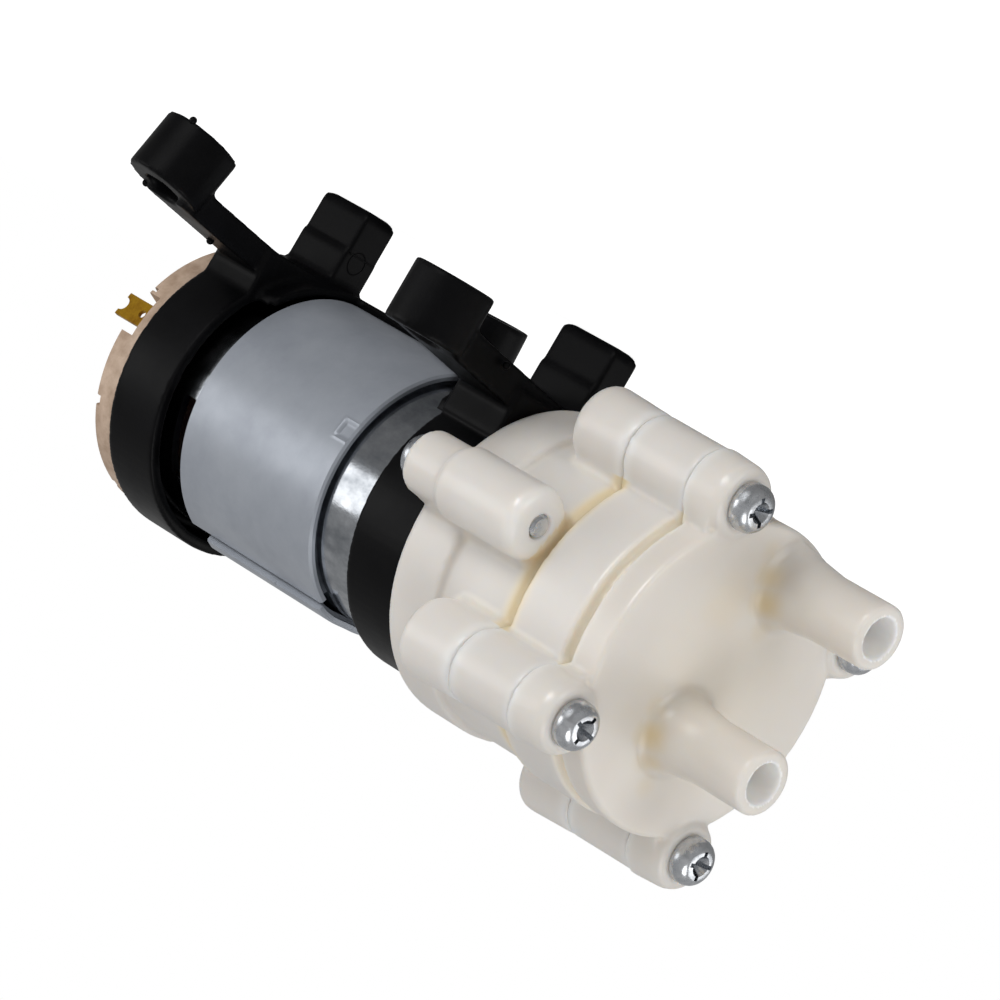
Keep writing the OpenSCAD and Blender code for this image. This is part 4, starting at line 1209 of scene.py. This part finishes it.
@dataclass
class Motor:
    """The outside of the motor: its drawn can, its flux ring and its end cap."""

    wall: float = 0.9
    shoulder: float = 2.2
    neck_r: float = 5.0
    neck_len: float = 2.2
    neck_round: float = 0.5
    bearing_hole_r: float = 1.75
    vent_len: float = 2.2
    vent_w: float = 9.0
    vent_deep: float = 6.0
    vent_from_ring: float = 0.4
    vent_turn: float = -62.0
    sharp_deg: float = 32.0

    def can(self) -> Object:
        """Draws the can with a round shoulder and cuts its two vents.

        Returns:
            The can.
        """
        front, rear, r = LAYOUT.can_front, LAYOUT.can_rear, LAYOUT.can_r
        arc = [math.radians(9 * i) for i in range(11)]

        def rounded(x: float, radius: float, size: float) -> list[tuple[float, float]]:
            """Gives a quarter round whose outer corner lies at a station and a radius."""
            return [(x - size * (1 - math.sin(a)), radius - size * (1 - math.cos(a))) for a in arc]

        wall, tip = self.wall, front + self.neck_len
        inside = rounded(front - wall, r - wall, self.shoulder - wall)
        outline = ([(rear, r - wall), (rear, r - 0.15), (rear + 0.15, r)] + rounded(front, r, self.shoulder)
                   + [(front, self.neck_r + 0.3), (front + 0.3, self.neck_r)]
                   + rounded(tip, self.neck_r, self.neck_round)
                   + [(tip, self.bearing_hole_r), (tip - wall, self.bearing_hole_r),
                      (tip - wall, self.neck_r - wall), (front - wall, self.neck_r - wall)] + inside[::-1])
        bm = bmesh.new()
        lathe(bm, outline, 160)
        can = from_bmesh("can_shell", bm)
        cutters = []
        for side in (-1, 1):
            cutter = bmesh.new()
            bmesh.ops.create_cube(cutter, size=1.0)
            size = Matrix.Diagonal((self.vent_len, self.vent_deep, self.vent_w, 1.0))
            station = LAYOUT.rear_ring_front + self.vent_from_ring + self.vent_len / 2
            at = Matrix.Translation((station, r, 0.0))
            spin = Matrix.Rotation(math.radians(side * 90 + self.vent_turn), 4, "X")
            bmesh.ops.transform(cutter, matrix=spin @ at @ size, verts=cutter.verts)
            cutters.append(from_bmesh("vent_cutter", cutter))
        cut(can, cutters)
        can.data.set_sharp_from_angle(angle=math.radians(self.sharp_deg))
        return settle(can, CAN_STEEL, "steel_can", Body.HOUSING, "motor_can")

    def build(self) -> list[Object]:
        """Builds the can, the flux ring and the end cap.

        Returns:
            The pieces.
        """
        return [self.can(), FluxRing().build(), EndCap().build()]


@dataclass
class Stage:
    """Floor, light and camera."""

    floor_size: float = 3.0
    floor_glow: float = 0.93
    lens: float = 204.3
    sensor: float = 36.0
    clips: tuple[float, float] = (0.02, 20.0)
    sky_plain: float = 0.48
    sky_glossy: float = 0.42
    aim_height: float = 0.02
    eye: tuple[float, float, float] = (0.386715, 0.445204, 0.01697)
    right: tuple[float, float, float] = (0.65167, -0.56736, -0.50342)
    up: tuple[float, float, float] = (-0.38309, 0.32663, -0.86403)

    def build(self) -> None:
        """Builds the whole stage."""
        self.camera()
        self.floor()
        self.world()
        self.lamps()

    def axes(self) -> Matrix:
        """Gives the camera's turn as a 4x4 matrix."""
        right = Vector(self.right).normalized()
        back = right.cross(Vector(self.up)).normalized()
        up = back.cross(right)
        return Matrix((right, up, back)).transposed().to_4x4()

    def camera(self) -> None:
        """Sets the camera at the photograph's place and roll."""
        data = bpy.data.cameras.new("camera")
        data.lens = self.lens
        data.sensor_width = self.sensor
        data.clip_start, data.clip_end = self.clips
        cam = add_object("camera", data)
        cam.matrix_world = Matrix.Translation(self.eye) @ self.axes()
        bpy.context.scene.camera = cam

    def seen(self, tree: NodeTree) -> tuple[Node, Node]:
        """Tells the eye's own rays and those through clear pieces from all others.

        Args:
            tree: The tree that asks.

        Returns:
            The light path node, and a node that is 1 for such rays.
        """
        rays = add_node(tree, "ShaderNodeLightPath")
        both = {0: rays.outputs["Is Camera Ray"], 1: rays.outputs["Is Transmission Ray"]}
        return rays, add_node(tree, "ShaderNodeMath", both, operation="MAXIMUM")

    def floor(self) -> None:
        """Lays a white floor that keeps the object's shadow."""
        bm = bmesh.new()
        bmesh.ops.create_grid(bm, x_segments=8, y_segments=8, size=self.floor_size)
        mesh = bpy.data.meshes.new("floor")
        bm.to_mesh(mesh)
        bm.free()
        mat = bpy.data.materials.new("floor_white")
        tree = empty_tree(mat)
        _, seen = self.seen(tree)
        glow = add_node(tree, "ShaderNodeMath", {0: seen, 1: self.floor_glow}, operation="MULTIPLY")
        lit = add_node(tree, "ShaderNodeEmission", {"Color": linear("#FFFFFF"), "Strength": glow})
        dull = add_node(tree, "ShaderNodeBsdfDiffuse", {"Color": linear("#A8A8A8")})
        both = add_node(tree, "ShaderNodeAddShader", {0: lit, 1: dull})
        add_node(tree, "ShaderNodeOutputMaterial", {"Surface": both})
        floor = add_object("floor", mesh)
        mesh.materials.append(mat)
        floor.visible_shadow = False

    def world(self) -> None:
        """Gives a white surround to the eye and to rays through clear pieces, and a dim one to reflections
        and the rest.
        """
        world = bpy.data.worlds.new("surround")
        bpy.context.scene.world = world
        tree = empty_tree(world)
        rays, seen = self.seen(tree)
        dim = add_node(tree, "ShaderNodeMapRange", {"To Min": self.sky_plain, "To Max": self.sky_glossy,
                        "Value": rays.outputs["Is Glossy Ray"]})
        level = add_node(tree, "ShaderNodeMath", {0: seen, 1: dim}, operation="MAXIMUM")
        sky = add_node(tree, "ShaderNodeBackground", {"Color": linear("#FFFFFF"), "Strength": level})
        add_node(tree, "ShaderNodeOutputWorld", {"Surface": sky})

    def lamps(self) -> None:
        """Hangs the soft boxes, placed as the camera sees them."""
        turn = self.axes()
        centre = Vector((0.0, 0.0, self.aim_height))
        for name, offset, size, power in (
            ("key", (-0.3, 0.62, 0.5), 0.36, 3.1),
            ("side", (-0.56, 0.24, 0.1), 0.42, 0.85),
            ("fill", (0.55, 0.15, 0.6), 0.5, 1.6),
            ("front", (0.6, -0.36, 0.05), 0.5, 0.9),
            ("under", (0.1, -0.65, 0.45), 0.5, 1.6),
        ):
            data = bpy.data.lights.new(name, "AREA")
            data.shape = "DISK"
            data.size = size
            data.energy = power
            lamp = add_object(name, data)
            spot = centre + turn @ Vector(offset)
            aim = (spot - centre).to_track_quat("Z", "Y").to_matrix().to_4x4()
            lamp.matrix_world = Matrix.Translation(spot) @ aim


FINISHES: dict[str, Finish] = {
    "motor_can": CAN_STEEL, "flux_ring": FLUX_STEEL, "end_cap": CAP_PLASTIC, "terminals": BRASS,
    "brush_arms": BRASS, "brushes": CARBON, "magnets": FERRITE, "rear_bearing": BRONZE,
    "front_bearing": BRONZE, "motor_shaft": GROUND_STEEL, "armature_core": LAMINATION,
    "windings": COPPER_WIRE, "commutator_hub": PHENOLIC, "commutator_bars": COPPER,
    "thrust_washers": ACETAL, "bracket": BLACK, "pump_base": NYLON, "motor_screws": SCREW_STEEL,
    "ear_screws": SCREW_STEEL, "eccentric_hub": ACETAL, "drive_pin": GROUND_STEEL, "wobble_plate": ACETAL,
    "pivot_ball": GROUND_STEEL, "diaphragm_holder": NYLON, "diaphragm": RUBBER, "valve_plate": ACETAL,
    "inlet_valve_1": SILICONE, "inlet_valve_2": SILICONE, "inlet_valve_3": SILICONE,
    "outlet_valve": SILICONE, "cover_gasket": RUBBER, "front_cover": NYLON, "cover_screws": SCREW_STEEL,
}


def dress_nodes(frame: dict[str, Any]) -> None:
    """Gives every node of the frame its finish.
    """
    for name, obj in frame["nodes"].items():
        obj.data.materials.clear()
        obj.data.materials.append(FINISHES[name].material())


def main() -> None:
    """Builds the pump piece by piece and reports each."""
    logging.basicConfig(level=logging.INFO, format="%(name)s: %(message)s")
    bpy.context.scene.view_settings.view_transform = "Standard"
    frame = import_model()
    dress_nodes(frame)
    for part in (Head(frame), Bracket(frame), Fasteners(), Motor(), Rotor()):
        for piece in part.build():
            LOG.info("%s: %d faces", piece.name, len(piece.data.polygons))
    Stage().build()


if __name__ == "__main__":
    main()
